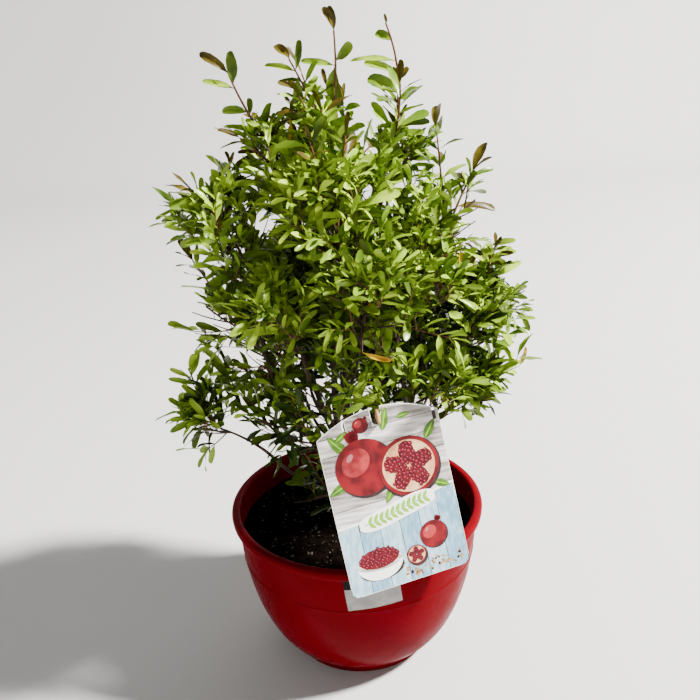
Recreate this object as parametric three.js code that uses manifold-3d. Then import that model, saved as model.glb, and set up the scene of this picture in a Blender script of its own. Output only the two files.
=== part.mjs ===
// A young pomegranate shrub in a bowl-shaped plastic pot, with its picture card hung on a cut stub.
// Millimetres, +Z up. The origin is the middle of the pot's flat underside, -Y is the front and +X the right.
//
// The plant is a short stem in the soil, boughs that spread from it, and one mass of foliage at the tip of
// each bough. A mass grows by one seeded rule: a stem that carries its bough on, twigs round it by the golden
// angle, and leaves in opposite pairs along each twig with three at its tip. Every mass keeps to a cell of
// its own, so that no two of them meet.
import * as THREE from "three";
import { mergeVertices } from "three/addons/utils/BufferGeometryUtils.js";
import Module from "manifold-3d";

const wasm = await Module();
wasm.setup();
const { Manifold, Mesh: SolidMesh } = wasm;

// ---- Driving dimensions

const CLEARANCE = 0.3; // between two pieces that touch
const FINEST_DETAIL = 0.02; // shorter edges of a fused mass are merged

// The pot
const RIM_RADIUS = 120;
const RIM_HEIGHT = 150;
const LIP_HEIGHT = 8; // the band that stands out round the rim
const LIP_TURN = 2.5; // the lip's rounded top edge
const LIP_DRAFT = 0.6; // how far the lip's lower edge is set in
const LIP_INNER = 0.8; // how far the rim's inner edge is set out from the wall
const WALL_TOP_RADIUS = 114.3;
const WALL_THICKNESS = 2.6;
const BOWL_FOOT_RADIUS = 66;
const FOOT_RADIUS = 70;
const FOOT_HEIGHT = 7;
const FLOOR_THICKNESS = 4;
const FLOOR_RADIUS = 58; // of the level floor inside
const POT_SIDES = 32;
const OUTSIDE_RINGS = [0, 0.04, 0.12, 0.25, 0.43, 0.68, 1]; // shares of the way up from the foot to the lip
const INSIDE_RINGS = [0.06, 0.2, 0.48, 1];

// The soil
const SOIL_EDGE_HEIGHT = 125; // where it meets the wall
const SOIL_TOP_HEIGHT = 131; // at the stem
const SOIL_FLAT_RADIUS = 17; // level ground under the stem
const SOIL_SHOULDER = { reach: 0.45, drop: 2 }; // where it starts to fall away, as a share of its edge

// The main stem
const STEM_HEIGHT = 46;
const STEM_RADIUS = 8.5;
const STEM_TAPER = 2;
const ROOT_FLARE = 5;
const ROOT_FLARE_POWER = 6; // how fast the flare dies away upwards
const STEM_LEAN = new THREE.Vector3(3, -2, 0); // how far its top stands from its foot
const STEM_BOW = 0.3; // its bend away from its lean

// The picture card
const CARD_WIDTH = 105;
const CARD_SIDE = 136; // straight part of the long edges
const CARD_ARCH = 15; // rise of the curved top edge
const CARD_THICKNESS = 1;
const CARD_CORNER = 9;
const CARD_NOTCH = { width: 9, depth: 15 };
const CARD_SLIT = { width: 2.4, depth: 10 };
const SLIT_INSETS = { left: 24, right: 4 }; // from the card's long edges
const CARD_CENTRE = new THREE.Vector3(31.9, -98.8, 203.3);
const CARD_ACROSS = new THREE.Vector3(0.956, 0.275, 0.106);
const CARD_FACING = new THREE.Vector3(0.235, -0.929, 0.285);

// Boughs and masses. A place is [bearing in degrees from +X towards +Y, reach from the pot's axis, height
// above its underside]. Each bough leaves its parent at a share of the parent's length and ends where its
// mass begins.
const MAIN_STEM = "main_stem";
const BOUGHS = [
  // name, parent, share, thickness, bough's end, mass's end, the mass's reach from its own middle
  ["top_middle", MAIN_STEM, 0.97, 3.6, [250, 12, 385], [185, 6, 498], 70],
  ["top_left", MAIN_STEM, 0.9, 3.3, [172, 38, 385], [172, 62, 488], 68],
  ["top_right", MAIN_STEM, 0.92, 3.3, [28, 36, 385], [34, 54, 488], 68],
  ["upper_left", MAIN_STEM, 0.6, 3.6, [184, 80, 356], [181, 118, 444], 64],
  ["upper_right", MAIN_STEM, 0.7, 3.5, [-5, 64, 352], [-4, 110, 434], 66],
  ["upper_front", MAIN_STEM, 0.84, 3.4, [262, 40, 362], [252, 66, 456], 70],
  ["upper_back", MAIN_STEM, 0.78, 3.4, [88, 44, 362], [88, 74, 456], 70],
  ["middle_left", "upper_left", 0.42, 2.6, [190, 72, 284], [184, 112, 342], 62],
  ["middle_front_left", "upper_front", 0.4, 2.4, [226, 52, 290], [230, 98, 362], 70],
  ["middle_front", "upper_front", 0.52, 2.3, [278, 52, 318], [280, 100, 386], 70],
  ["middle_front_right", "upper_right", 0.45, 2.4, [318, 54, 300], [320, 104, 372], 70],
  ["middle_right", "upper_right", 0.5, 2.6, [0, 72, 280], [2, 134, 342], 66],
  ["middle_back_right", "top_right", 0.42, 2.5, [46, 56, 292], [48, 108, 362], 70],
  ["middle_back", "upper_back", 0.48, 2.4, [90, 56, 290], [92, 106, 356], 70],
  ["middle_back_left", "top_left", 0.4, 2.5, [134, 56, 290], [133, 106, 362], 70],
  ["low_left", MAIN_STEM, 0.36, 2.8, [188, 74, 200], [184, 134, 240], 64],
  ["low_front_left", MAIN_STEM, 0.5, 2.4, [226, 36, 206], [216, 84, 254], 56],
  ["low_front", "upper_front", 0.2, 2.3, [252, 40, 232], [254, 88, 284], 60],
  ["low_front_right", "upper_right", 0.22, 2.3, [320, 54, 240], [324, 104, 288], 60],
  ["low_right", MAIN_STEM, 0.48, 2.8, [2, 66, 216], [0, 122, 266], 56],
  ["low_back_right", "top_right", 0.2, 2.3, [44, 56, 230], [44, 112, 272], 64],
  ["low_back", "upper_back", 0.2, 2.4, [92, 56, 230], [92, 110, 272], 64],
  ["low_back_left", "top_left", 0.18, 2.3, [138, 56, 228], [138, 108, 270], 64],
  ["foot_sprout", MAIN_STEM, 0.2, 1.9, [228, 22, 158], [222, 52, 172], 44],
].map(([name, from, at, thick, enters, ends, wide]) => ({ name, from, at, thick, enters, ends, wide }));
// The leaders that stand out of the top: sparse shoots, each from the end of a mass's stem.
const LEADERS = [
  { from: "top_middle", ends: [180, 4, 560] },
  { from: "top_left", ends: [175, 92, 538] },
  { from: "top_left", ends: [192, 56, 536] },
  { from: "top_right", ends: [24, 44, 550] },
  { from: "top_right", ends: [12, 66, 522] },
];
const BOUGH_TIP = 0.42; // a bough's tip radius as a share of its foot's
const BOUGH_SAG = 0.1; // its bow below its chord, as a share of its length
const BOUGH_SWAY = 0.05; // its bow to one side

// The cut stub that the card hangs on: `past` is how far it comes out of the card's face.
const STUB = { name: "cut_stub", from: "middle_front", at: 0.5, thick: 2.4, past: 6 };
const STUB_SEAT = 0.78; // how far its underside lies below its middle in the notch, as a share of `thick`
const STUB_APPROACH = 28; // how far behind the card it turns towards the notch
const STUB_ENDS = [1.1, 0.9]; // its radius at foot and tip, as shares of `thick`

// Round limbs: how many sides each has, and how many steps along it
const FACETS = { main_stem: [8, 5], bough: [5, 4], stub: [6, 5], mass_stem: [4, 4] };

// The stem and twigs of a mass. `share` runs along the stem from foot to tip; angles are in radians.
const STEM_TIP_RADIUS = 1.2;
const STEM_TAPER_INSIDE = 0.6;
const STEM_LEAFY_FROM = 0.7; // the share from which the stem itself carries leaves
const TWIGS = 5;
const TWIG_SHARES = [0.12, 0.9]; // the first and the last twig
const TWIG_REACH = 46; // the longest
const TWIG_SHORTER = 0.35; // how much shorter the twigs are at the tip
const TWIG_REACH_RANGE = [0.8, 1.1];
const TWIG_TILT = 1.25; // from the stem, at its foot
const TWIG_TILT_LESS = 0.55; // at its tip
const TWIG_TILT_SPREAD = 0.3;
const TWIG_TURN_SPREAD = 0.5;
const TWIG_RISE = 0.15; // how much a twig turns up
const TWIG_CUTS = [1, 0.75, 0.5]; // lengths tried until one fits
const TWIG_CLEAR = 4; // the first stretch of a twig isn't tested against its own stem
const TWIG_RADIUS = 0.9;
const TWIG_TIP = 0.6; // a twig's tip radius as a share of its foot's

// Leaves
const LEAF_LENGTH = 46;
const LEAF_WIDTH = 19;
const LEAF_THICKNESS = 1;
const LEAF_WAIST = 0.42; // where it is widest, as a share of its length
const LEAF_FOLD = 0.16; // rise of its edges above its midrib, as a share of its width
const LEAF_DROOP = 0.08; // fall of its tip, as a share of its length
const LEAF_SUNK = 0.2; // how far its root goes past its twig's middle
const LEAF_SIZE_RANGE = [0.85, 1.1];
const SMALL_LEAF = 0.7; // size of the leaf that is tried where a full one doesn't fit
const LEAF_CLEAR = 2; // the first stretch of a leaf isn't tested against its own twig
const LEAF_ROOM = 0.3; // half-width kept clear of other things, as a share of its width
const LEAF_SPACING = 9; // between two leaves of a mass
const TIP_LEAVES = 3;
const TIP_LEAF_TILT = 0.55;
const TIP_LEAF_BACK = 0.6; // how far inside the twig's end they root
const PAIR_TILT = 0.95;
const LEAF_TILT_SPREAD = 0.25;
const PAIRS = { long: [0.4, 0.72], short: [0.5] }; // where pairs stand, as shares of a twig
const LONG_TWIG = TWIG_REACH / 2;

// Leaders
const LEADER_FOOT = 0.97; // share of the mass's stem
const LEADER_STEPS = 3; // pairs of leaves
const LEADER_TILT = 0.6;
const LEADER_TURN = 1.2; // from one pair to the next
const LEADER_LEAF = { middle: 0.75, tip: 0.6 }; // sizes
const LEADER_LEAF_BACK = 0.06; // how far below its step's end a pair roots, as a share of the step

// Spacing
const SITE_SHARE = 0.6; // where along its stem a mass has its middle
const CELL_MARGIN = 1; // between a leaf and the side of its mass's cell
const LIMB_MARGIN = 0.8; // between a leaf and a limb of another node
const LIMB_PIECES = 8; // straight pieces that stand for a limb in that test
const GOLDEN_ANGLE = Math.PI * (3 - Math.sqrt(5));
const UP = new THREE.Vector3(0, 0, 1);
const SKY = new THREE.Vector3(0.15, -0.12, 1).normalize(); // where a leaf turns its face

// ---- Materials

function finish(color, roughness) {
  return new THREE.MeshStandardMaterial({ color, roughness, metalness: 0 });
}
const RED_PLASTIC = finish(0xc40a12, 0.35);
const DARK_SOIL = finish(0x2a211b, 0.95);
const BARK = finish(0x6b4a36, 0.85);
const FOLIAGE = finish(0x5e8a1e, 0.5);
const CARD = finish(0xdfe6ea, 0.4);

// ---- Solids

// A closed three.js geometry as a manifold-3d solid.
function solidOf(geometry) {
  const bare = geometry.clone();
  bare.deleteAttribute("normal");
  bare.deleteAttribute("uv");
  const merged = mergeVertices(bare, 1e-4);
  return new Manifold(
    new SolidMesh({
      numProp: 3,
      vertProperties: new Float32Array(merged.attributes.position.array),
      triVerts: new Uint32Array(merged.index.array),
    }),
  );
}

// A manifold-3d solid as a named three.js mesh.
function meshOf(solid, name, material) {
  const { vertProperties, triVerts } = solid.getMesh();
  const geometry = new THREE.BufferGeometry();
  geometry.setAttribute("position", new THREE.BufferAttribute(vertProperties, 3));
  geometry.setIndex(new THREE.BufferAttribute(triVerts, 1));
  geometry.computeVertexNormals();
  const mesh = new THREE.Mesh(geometry, material);
  mesh.name = name;
  return mesh;
}

// The largest closed body of a solid: a cut can leave a scrap beside it.
function largest(solid) {
  return solid.decompose().reduce((a, b) => (a.volume() > b.volume() ? a : b));
}

// Moves every vertex of a geometry by a function of its place.
function reshape(geometry, place) {
  const position = geometry.attributes.position;
  const point = new THREE.Vector3();
  for (let i = 0; i < position.count; i++) {
    point.fromBufferAttribute(position, i);
    position.setXYZ(i, ...place(point).toArray());
  }
  return geometry;
}

// A cylinder bent along a curve, with its radius given along it. `extra` makes it larger all round.
function limbSolid(curve, radiusAt, sides, steps, extra = 0) {
  const frames = curve.computeFrenetFrames(steps);
  return solidOf(
    reshape(new THREE.CylinderGeometry(1, 1, 1, sides, steps), (p) => {
      const share = p.y + 0.5;
      const step = Math.round(share * steps);
      const radius = radiusAt(share) + extra;
      const past = step === 0 ? -extra : step === steps ? extra : 0;
      return curve
        .getPointAt(share)
        .addScaledVector(frames.tangents[step], past)
        .addScaledVector(frames.normals[step], p.x * radius)
        .addScaledVector(frames.binormals[step], -p.z * radius);
    }),
  );
}

// ---- The pot and what fills it

const WALL_RISE = RIM_HEIGHT - LIP_HEIGHT - FOOT_HEIGHT; // from the foot to the lip

// The bowl's outside at a share of the way up, as [radius, height]. It swells fast at first, like a bowl.
function wallRing(share) {
  const swell = (1 - (1 - share) ** 1.9) ** (1 / 1.8);
  return [BOWL_FOOT_RADIUS + (WALL_TOP_RADIUS - BOWL_FOOT_RADIUS) * swell, FOOT_HEIGHT + share * WALL_RISE];
}

const inside = INSIDE_RINGS.map(wallRing).map(([r, z]) => [r - WALL_THICKNESS, z + FLOOR_THICKNESS]);

// Radius of the bowl's inside at a height, on the straight facets between its rings.
function insideRadius(height) {
  const next = inside.findIndex(([, z]) => z > height);
  const [[r0, z0], [r1, z1]] = [inside[next - 1], inside[next]];
  return r0 + ((r1 - r0) * (height - z0)) / (z1 - z0);
}

function potProfile() {
  const profile = [
    [0, 0],
    [FOOT_RADIUS, 0],
    [FOOT_RADIUS, FOOT_HEIGHT - 1],
    ...OUTSIDE_RINGS.map(wallRing),
    [RIM_RADIUS - LIP_DRAFT, RIM_HEIGHT - LIP_HEIGHT],
    [RIM_RADIUS, RIM_HEIGHT - LIP_TURN],
    [RIM_RADIUS - LIP_TURN / 2, RIM_HEIGHT],
    [WALL_TOP_RADIUS - WALL_THICKNESS + LIP_INNER, RIM_HEIGHT],
    ...inside.toReversed(),
    [FLOOR_RADIUS, FOOT_HEIGHT + FLOOR_THICKNESS],
    [0, FOOT_HEIGHT + FLOOR_THICKNESS],
  ];
  return profile.map(([r, z]) => new THREE.Vector2(r, z));
}

// A profile of (radius, height) turned about the +Z axis.
function turned(profile) {
  return solidOf(new THREE.LatheGeometry(profile, POT_SIDES).rotateX(Math.PI / 2));
}

function soilProfile() {
  const floor = FOOT_HEIGHT + FLOOR_THICKNESS + CLEARANCE;
  const edge = insideRadius(SOIL_EDGE_HEIGHT) - CLEARANCE;
  const sides = inside.filter(([, z]) => z < SOIL_EDGE_HEIGHT).map(([r, z]) => [r - 2 * CLEARANCE, z]);
  const profile = [
    [0, floor],
    [FLOOR_RADIUS - CLEARANCE, floor],
    ...sides,
    [edge, SOIL_EDGE_HEIGHT],
    [SOIL_SHOULDER.reach * edge, SOIL_TOP_HEIGHT - SOIL_SHOULDER.drop],
    [SOIL_FLAT_RADIUS, SOIL_TOP_HEIGHT],
    [0, SOIL_TOP_HEIGHT],
  ];
  return profile.map(([r, z]) => new THREE.Vector2(r, z));
}

// ---- The card

const cardUp = new THREE.Vector3().crossVectors(CARD_FACING, CARD_ACROSS).normalize();
const cardFacing = new THREE.Vector3().crossVectors(CARD_ACROSS, cardUp).normalize();
const cardFrame = new THREE.Matrix4()
  .makeBasis(CARD_ACROSS.clone().normalize(), cardUp, cardFacing)
  .setPosition(CARD_CENTRE);

const ARCH_STEP = CARD_WIDTH / 12; // between two corners of its curved top edge

// Height of the card's curved top edge, above its middle, at a distance across.
function cardTop(across) {
  return CARD_SIDE / 2 + CARD_ARCH * (1 - (2 * across / CARD_WIDTH) ** 2);
}

function cardSolid() {
  const half = CARD_WIDTH / 2;
  const foot = -CARD_SIDE / 2;
  const outline = new THREE.Shape();
  outline.moveTo(-half + CARD_CORNER, foot);
  outline.lineTo(half - CARD_CORNER, foot);
  outline.absarc(half - CARD_CORNER, foot + CARD_CORNER, CARD_CORNER, -Math.PI / 2, 0, false);
  // The curved edge is followed from right to left, round a slit, the middle notch and the other slit.
  const cuts = [
    { x: half - SLIT_INSETS.right, ...CARD_SLIT },
    { x: 0, ...CARD_NOTCH },
    { x: -half + SLIT_INSETS.left, ...CARD_SLIT },
  ];
  for (let x = half; x >= -half; x -= ARCH_STEP) {
    while (cuts.length && x <= cuts[0].x + cuts[0].width / 2) {
      const cut = cuts.shift();
      const bottom = cardTop(cut.x) - cut.depth;
      outline.lineTo(cut.x + cut.width / 2, cardTop(cut.x + cut.width / 2));
      outline.absarc(cut.x, bottom + cut.width / 2, cut.width / 2, 0, -Math.PI, true);
      outline.lineTo(cut.x - cut.width / 2, cardTop(cut.x - cut.width / 2));
      x = Math.min(x, cut.x - cut.width / 2 - 1);
    }
    outline.lineTo(x, cardTop(x));
  }
  outline.lineTo(-half, cardTop(half));
  outline.lineTo(-half, foot + CARD_CORNER);
  outline.absarc(-half + CARD_CORNER, foot + CARD_CORNER, CARD_CORNER, Math.PI, 1.5 * Math.PI, false);
  const options = { depth: CARD_THICKNESS, bevelEnabled: false, curveSegments: 4 };
  return solidOf(new THREE.ExtrudeGeometry(outline, options).applyMatrix4(cardFrame));
}

// ---- Limbs

// Repeatable numbers from 0 to 1, the same in any language with 32-bit sums.
function randomFrom(seed) {
  let state = seed >>> 0;
  return () => {
    state = (state + 0x6d2b79f5) >>> 0;
    let t = Math.imul(state ^ (state >>> 15), 1 | state);
    t = (t + Math.imul(t ^ (t >>> 7), 61 | t)) ^ t;
    return ((t ^ (t >>> 14)) >>> 0) / 2 ** 32;
  };
}

// The number at a share of the way through a range.
function inRange([low, high], share) {
  return low + (high - low) * share;
}

function place([bearing, reach, height]) {
  const angle = THREE.MathUtils.degToRad(bearing);
  return new THREE.Vector3(reach * Math.cos(angle), reach * Math.sin(angle), height);
}

const limbs = new Map(); // name to { node, curve, radiusAt, solid, grown }

// A limb is cut clear of every limb before it, so it starts just outside its parent's bark.
function addLimb(name, node, curve, radiusAt, [sides, steps]) {
  let solid = limbSolid(curve, radiusAt, sides, steps);
  for (const other of limbs.values()) {
    if (other.grown.intersect(solid).volume() > 0) solid = largest(solid.subtract(other.grown));
  }
  const grown = limbSolid(curve, radiusAt, sides, steps, CLEARANCE);
  limbs.set(name, { node, curve, radiusAt, solid, grown });
}

function addMainStem() {
  const foot = new THREE.Vector3(0, 0, SOIL_TOP_HEIGHT + CLEARANCE);
  const top = foot.clone().add(STEM_LEAN).addScaledVector(UP, STEM_HEIGHT);
  const middle = foot.clone().lerp(top, 0.5).addScaledVector(STEM_LEAN, -STEM_BOW);
  const curve = new THREE.QuadraticBezierCurve3(foot, middle, top);
  const radiusAt = (s) => STEM_RADIUS - STEM_TAPER * s + ROOT_FLARE * (1 - s) ** ROOT_FLARE_POWER;
  addLimb(MAIN_STEM, MAIN_STEM, curve, radiusAt, FACETS.main_stem);
  // The foot is one flat cut, level with the ground.
  const stem = limbs.get(MAIN_STEM);
  stem.solid = stem.solid.trimByPlane(UP.toArray(), foot.z);
}

// A bough bows below its chord and to one side, so it leaves low and turns up towards its tip.
function addBough({ name, from, at, thick, enters }, index) {
  const foot = limbs.get(from).curve.getPoint(at);
  const tip = place(enters);
  const chord = tip.clone().sub(foot);
  const side = new THREE.Vector3().crossVectors(chord, UP).normalize();
  const below = new THREE.Vector3().crossVectors(chord, side).normalize();
  const knee = foot
    .clone()
    .lerp(tip, 0.5)
    .addScaledVector(below, 2 * BOUGH_SAG * chord.length())
    .addScaledVector(side, 2 * BOUGH_SWAY * chord.length() * (index % 2 ? 1 : -1));
  const curve = new THREE.QuadraticBezierCurve3(foot, knee, tip);
  addLimb(name, `bough_${name}`, curve, (s) => thick * (1 - (1 - BOUGH_TIP) * s), FACETS.bough);
}

// A short pruned limb that comes through the card's notch and carries the card.
function addStub({ name, from, at, thick, past }) {
  const seat = cardTop(0) - CARD_NOTCH.depth + STUB_SEAT * thick + CLEARANCE;
  const foot = limbs.get(from).curve.getPoint(at);
  const knee = new THREE.Vector3(0, seat, -STUB_APPROACH).applyMatrix4(cardFrame);
  const tip = new THREE.Vector3(0, seat, CARD_THICKNESS + past).applyMatrix4(cardFrame);
  const curve = new THREE.QuadraticBezierCurve3(foot, knee, tip);
  addLimb(name, name, curve, (s) => thick * inRange(STUB_ENDS, s), FACETS.stub);
}

// ---- Foliage

// The stem of a mass carries its bough on, without a kink, to the mass's own end.
function stemOf({ name, ends }) {
  const bough = limbs.get(name).curve;
  const heading = bough.getTangent(1);
  const foot = bough.getPoint(1).addScaledVector(heading, CLEARANCE);
  const tip = place(ends);
  const knee = foot.clone().addScaledVector(heading, 0.5 * foot.distanceTo(tip));
  return new THREE.QuadraticBezierCurve3(foot, knee, tip);
}

let sites = []; // the { middle, wide } of each mass

// A mass's cell is the space nearer to its own middle than to any other's, and within `wide` of it.
function insideCell(point, own, wide) {
  const home = sites[own];
  const near = point.distanceTo(home.middle);
  if (near > wide) return false;
  return sites.every(({ middle }, i) => {
    const margin = 2 * CELL_MARGIN * middle.distanceTo(home.middle);
    return i === own || near ** 2 + margin < point.distanceToSquared(middle);
  });
}

// Shortest distance between the segments a-b and c-d.
function segmentGap(a, b, c, d) {
  const u = b.clone().sub(a);
  const v = d.clone().sub(c);
  const w = a.clone().sub(c);
  const [uu, uv, vv, uw, vw] = [u.dot(u), u.dot(v), v.dot(v), u.dot(w), v.dot(w)];
  const across = uu * vv - uv * uv;
  let s = across > 1e-9 ? THREE.MathUtils.clamp((uv * vw - vv * uw) / across, 0, 1) : 0;
  let t = (uv * s + vw) / vv;
  if (t < 0 || t > 1) {
    t = THREE.MathUtils.clamp(t, 0, 1);
    s = THREE.MathUtils.clamp((uv * t - uw) / uu, 0, 1);
  }
  return w.addScaledVector(u, s).addScaledVector(v, -t).length();
}

let limbPieces = [];

function splitLimbs() {
  limbPieces = [...limbs.values()].flatMap(({ curve, radiusAt }) =>
    Array.from({ length: LIMB_PIECES }, (_, i) => ({
      start: curve.getPoint(i / LIMB_PIECES),
      end: curve.getPoint((i + 1) / LIMB_PIECES),
      radius: radiusAt(i / LIMB_PIECES),
    })),
  );
}

// True where the straight stretch a-b, `half` wide to each side, is clear of every limb.
function clearOfLimbs(a, b, half) {
  const room = half + LIMB_MARGIN;
  return limbPieces.every(({ start, end, radius }) => segmentGap(a, b, start, end) > radius + room);
}

const toCard = cardFrame.clone().invert();

// True where a point is clear of the card, the pot and the soil.
function clearOfThings(point, half) {
  const local = point.clone().applyMatrix4(toCard);
  const besideCard = Math.abs(local.x) >= CARD_WIDTH / 2 + half;
  const aboveCard = Math.abs(local.y) >= CARD_SIDE / 2 + CARD_ARCH + half;
  const behindCard = local.z < -half - 1;
  return (besideCard || aboveCard || behindCard) && point.z > RIM_HEIGHT + half;
}

// A stretch keeps its place if it lies in its mass's cell and is clear of everything else.
function fits(a, b, half, own, wide = sites[own].wide) {
  const middle = a.clone().lerp(b, 0.5);
  return (
    [a, middle, b].every((p) => insideCell(p, own, wide) && clearOfThings(p, half)) &&
    clearOfLimbs(a, b, half)
  );
}

// A direction at `tilt` from an axis, turned about it by `turn`.
function branchOff(axis, tilt, turn) {
  const reference = Math.abs(axis.z) > 0.95 ? new THREE.Vector3(1, 0, 0) : UP;
  const side = new THREE.Vector3().crossVectors(axis, reference).normalize();
  const other = new THREE.Vector3().crossVectors(axis, side);
  return axis
    .clone()
    .multiplyScalar(Math.cos(tilt))
    .addScaledVector(side, Math.sin(tilt) * Math.cos(turn))
    .addScaledVector(other, Math.sin(tilt) * Math.sin(turn));
}

// A straight three-sided twig.
function twigSolid(from, to) {
  const twig = new THREE.CylinderGeometry(TWIG_TIP * TWIG_RADIUS, TWIG_RADIUS, from.distanceTo(to), 3, 1);
  const heading = to.clone().sub(from).normalize();
  const turn = new THREE.Quaternion().setFromUnitVectors(new THREE.Vector3(0, 1, 0), heading);
  return solidOf(twig.applyQuaternion(turn).translate(...from.clone().lerp(to, 0.5).toArray()));
}

// The direction across a leaf that turns its face to the sky.
function acrossLeaf(along) {
  return new THREE.Vector3().crossVectors(along, SKY).normalize();
}

// A leaf of eight faces: an octahedron drawn out from root to tip, widest before its middle and folded on its
// midrib.
function leafSolid(root, along, length, width) {
  const across = acrossLeaf(along);
  const normal = new THREE.Vector3().crossVectors(across, along);
  return solidOf(
    reshape(new THREE.OctahedronGeometry(1), (p) => {
      const forward = p.x < -0.5 ? -LEAF_SUNK : p.x > 0.5 ? length : LEAF_WAIST * length;
      const lift = LEAF_FOLD * width * Math.abs(p.z) - (p.x > 0.5 ? LEAF_DROOP * length : 0);
      return root
        .clone()
        .addScaledVector(along, forward)
        .addScaledVector(across, (p.z * width) / 2)
        .addScaledVector(normal, (p.y * LEAF_THICKNESS) / 2 + lift);
    }),
  );
}

// Each mass, and each of its twigs, has random numbers of its own.
const massSeed = (own) => 101 + 17 * own;
const leafSeed = (own, twig) => 1000 * own + twig;

// One mass of foliage, as it grows.
class Mass {
  constructor(row, own) {
    this.row = row;
    this.own = own;
    this.stem = stemOf(row);
    const radiusAt = (s) => STEM_TIP_RADIUS + STEM_TAPER_INSIDE * (1 - s);
    this.pieces = [limbSolid(this.stem, radiusAt, ...FACETS.mass_stem)];
    this.taken = []; // the twigs, and the outer part of each leaf's midrib
  }

  // A leaf is left out where it would meet something, or would cross another leaf of its mass.
  leaf(root, along, size, wide) {
    const length = LEAF_LENGTH * size;
    const width = LEAF_WIDTH * size;
    const across = acrossLeaf(along);
    const clear = root.clone().addScaledVector(along, LEAF_CLEAR);
    const waist = root.clone().addScaledVector(along, LEAF_WAIST * length);
    const tip = root.clone().addScaledVector(along, length);
    const edges = [-0.5, 0.5].map((side) => waist.clone().addScaledVector(across, side * width));
    const kept =
      fits(clear, tip, LEAF_ROOM * width, this.own, wide) &&
      edges.every((edge) => insideCell(edge, this.own, wide)) &&
      this.taken.every(([a, b]) => segmentGap(a, b, waist, tip) > LEAF_SPACING);
    if (kept) {
      this.pieces.push(leafSolid(root, along, length, width));
      this.taken.push([waist, tip]);
    }
    return kept;
  }

  // Leaves stand in opposite pairs, each pair a quarter turn from the last, and three at the tip.
  leaves(from, to, shares, turn, random) {
    const axis = to.clone().sub(from).normalize();
    const end = to.clone().addScaledVector(axis, -TIP_LEAF_BACK);
    const places = [];
    for (let i = 0; i < TIP_LEAVES; i++) {
      places.push({ root: end, tilt: TIP_LEAF_TILT, turn: (i * 2 * Math.PI) / TIP_LEAVES });
    }
    shares.forEach((share, i) => {
      const root = from.clone().lerp(to, share);
      for (const side of [0, Math.PI]) places.push({ root, tilt: PAIR_TILT, turn: side + (i * Math.PI) / 2 });
    });
    for (const spot of places) {
      const along = branchOff(axis, spot.tilt + LEAF_TILT_SPREAD * random(), turn + spot.turn);
      const size = inRange(LEAF_SIZE_RANGE, random());
      const { wide } = this.row;
      if (!this.leaf(spot.root, along, size, wide)) this.leaf(spot.root, along, SMALL_LEAF * size, wide);
    }
  }

  // Twigs stand round the stem by the golden angle, shorter towards its tip, and are cut back until they fit.
  grow(random) {
    const { own, stem, row } = this;
    const start = random() * 2 * Math.PI;
    const twigs = [{ from: stem.getPoint(STEM_LEAFY_FROM), to: stem.getPoint(1), turn: start, key: TWIGS }];
    for (let i = 0; i < TWIGS; i++) {
      const share = inRange(TWIG_SHARES, i / (TWIGS - 1));
      const turn = start + i * GOLDEN_ANGLE + TWIG_TURN_SPREAD * (random() - 0.5);
      const tilt = TWIG_TILT - TWIG_TILT_LESS * share + TWIG_TILT_SPREAD * (random() - 0.5);
      const reach = TWIG_REACH * (1 - TWIG_SHORTER * share) * inRange(TWIG_REACH_RANGE, random());
      const from = stem.getPoint(share);
      const heading = branchOff(stem.getTangent(share), tilt, turn);
      heading.addScaledVector(UP, TWIG_RISE).normalize();
      const clear = from.clone().addScaledVector(heading, TWIG_CLEAR);
      const tips = TWIG_CUTS.map((part) => from.clone().addScaledVector(heading, part * reach));
      const to = tips.find((tip) => fits(clear, tip, TWIG_RADIUS, own, row.wide));
      if (to) {
        this.pieces.push(twigSolid(from, to));
        twigs.push({ from, to, turn, key: i });
      }
    }
    this.taken.push(...twigs.map(({ from, to }) => [from, to]));
    for (const { from, to, turn, key } of twigs) {
      const shares = from.distanceTo(to) > LONG_TWIG ? PAIRS.long : PAIRS.short;
      this.leaves(from, to, shares, turn, randomFrom(leafSeed(own, key)));
    }
  }

  // A leader carries small upright leaves in pairs.
  leader(tip) {
    const foot = this.stem.getPoint(LEADER_FOOT);
    const axis = tip.clone().sub(foot).normalize();
    for (let i = 1; i <= LEADER_STEPS; i++) {
      const from = foot.clone().lerp(tip, (i - 1) / LEADER_STEPS);
      const to = foot.clone().lerp(tip, i / LEADER_STEPS);
      const size = i < LEADER_STEPS ? LEADER_LEAF.middle : LEADER_LEAF.tip;
      this.pieces.push(twigSolid(from, to));
      for (const side of [0, Math.PI]) {
        const along = branchOff(axis, LEADER_TILT, i * LEADER_TURN + side);
        this.leaf(to.clone().lerp(from, LEADER_LEAF_BACK), along, size, Infinity);
      }
    }
  }

  solid() {
    return largest(Manifold.union(this.pieces).simplify(FINEST_DETAIL));
  }
}

function massSolid(row, own) {
  const mass = new Mass(row, own);
  LEADERS.filter(({ from }) => from === row.name).forEach(({ ends }) => mass.leader(place(ends)));
  mass.grow(randomFrom(massSeed(own)));
  return mass.solid();
}

// ---- The whole plant

const plant = new THREE.Group();

plant.add(meshOf(turned(potProfile()), "pot", RED_PLASTIC));
plant.add(meshOf(turned(soilProfile()), "soil", DARK_SOIL));
plant.add(meshOf(cardSolid(), "picture_card", CARD));

addMainStem();
BOUGHS.forEach(addBough);
addStub(STUB);
splitLimbs();
for (const { node, solid } of limbs.values()) plant.add(meshOf(solid, node, BARK));

sites = BOUGHS.map((row) => ({ middle: stemOf(row).getPoint(SITE_SHARE), wide: row.wide }));
BOUGHS.forEach((row, own) => plant.add(meshOf(massSolid(row, own), `foliage_${row.name}`, FOLIAGE)));

export default plant;
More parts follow.
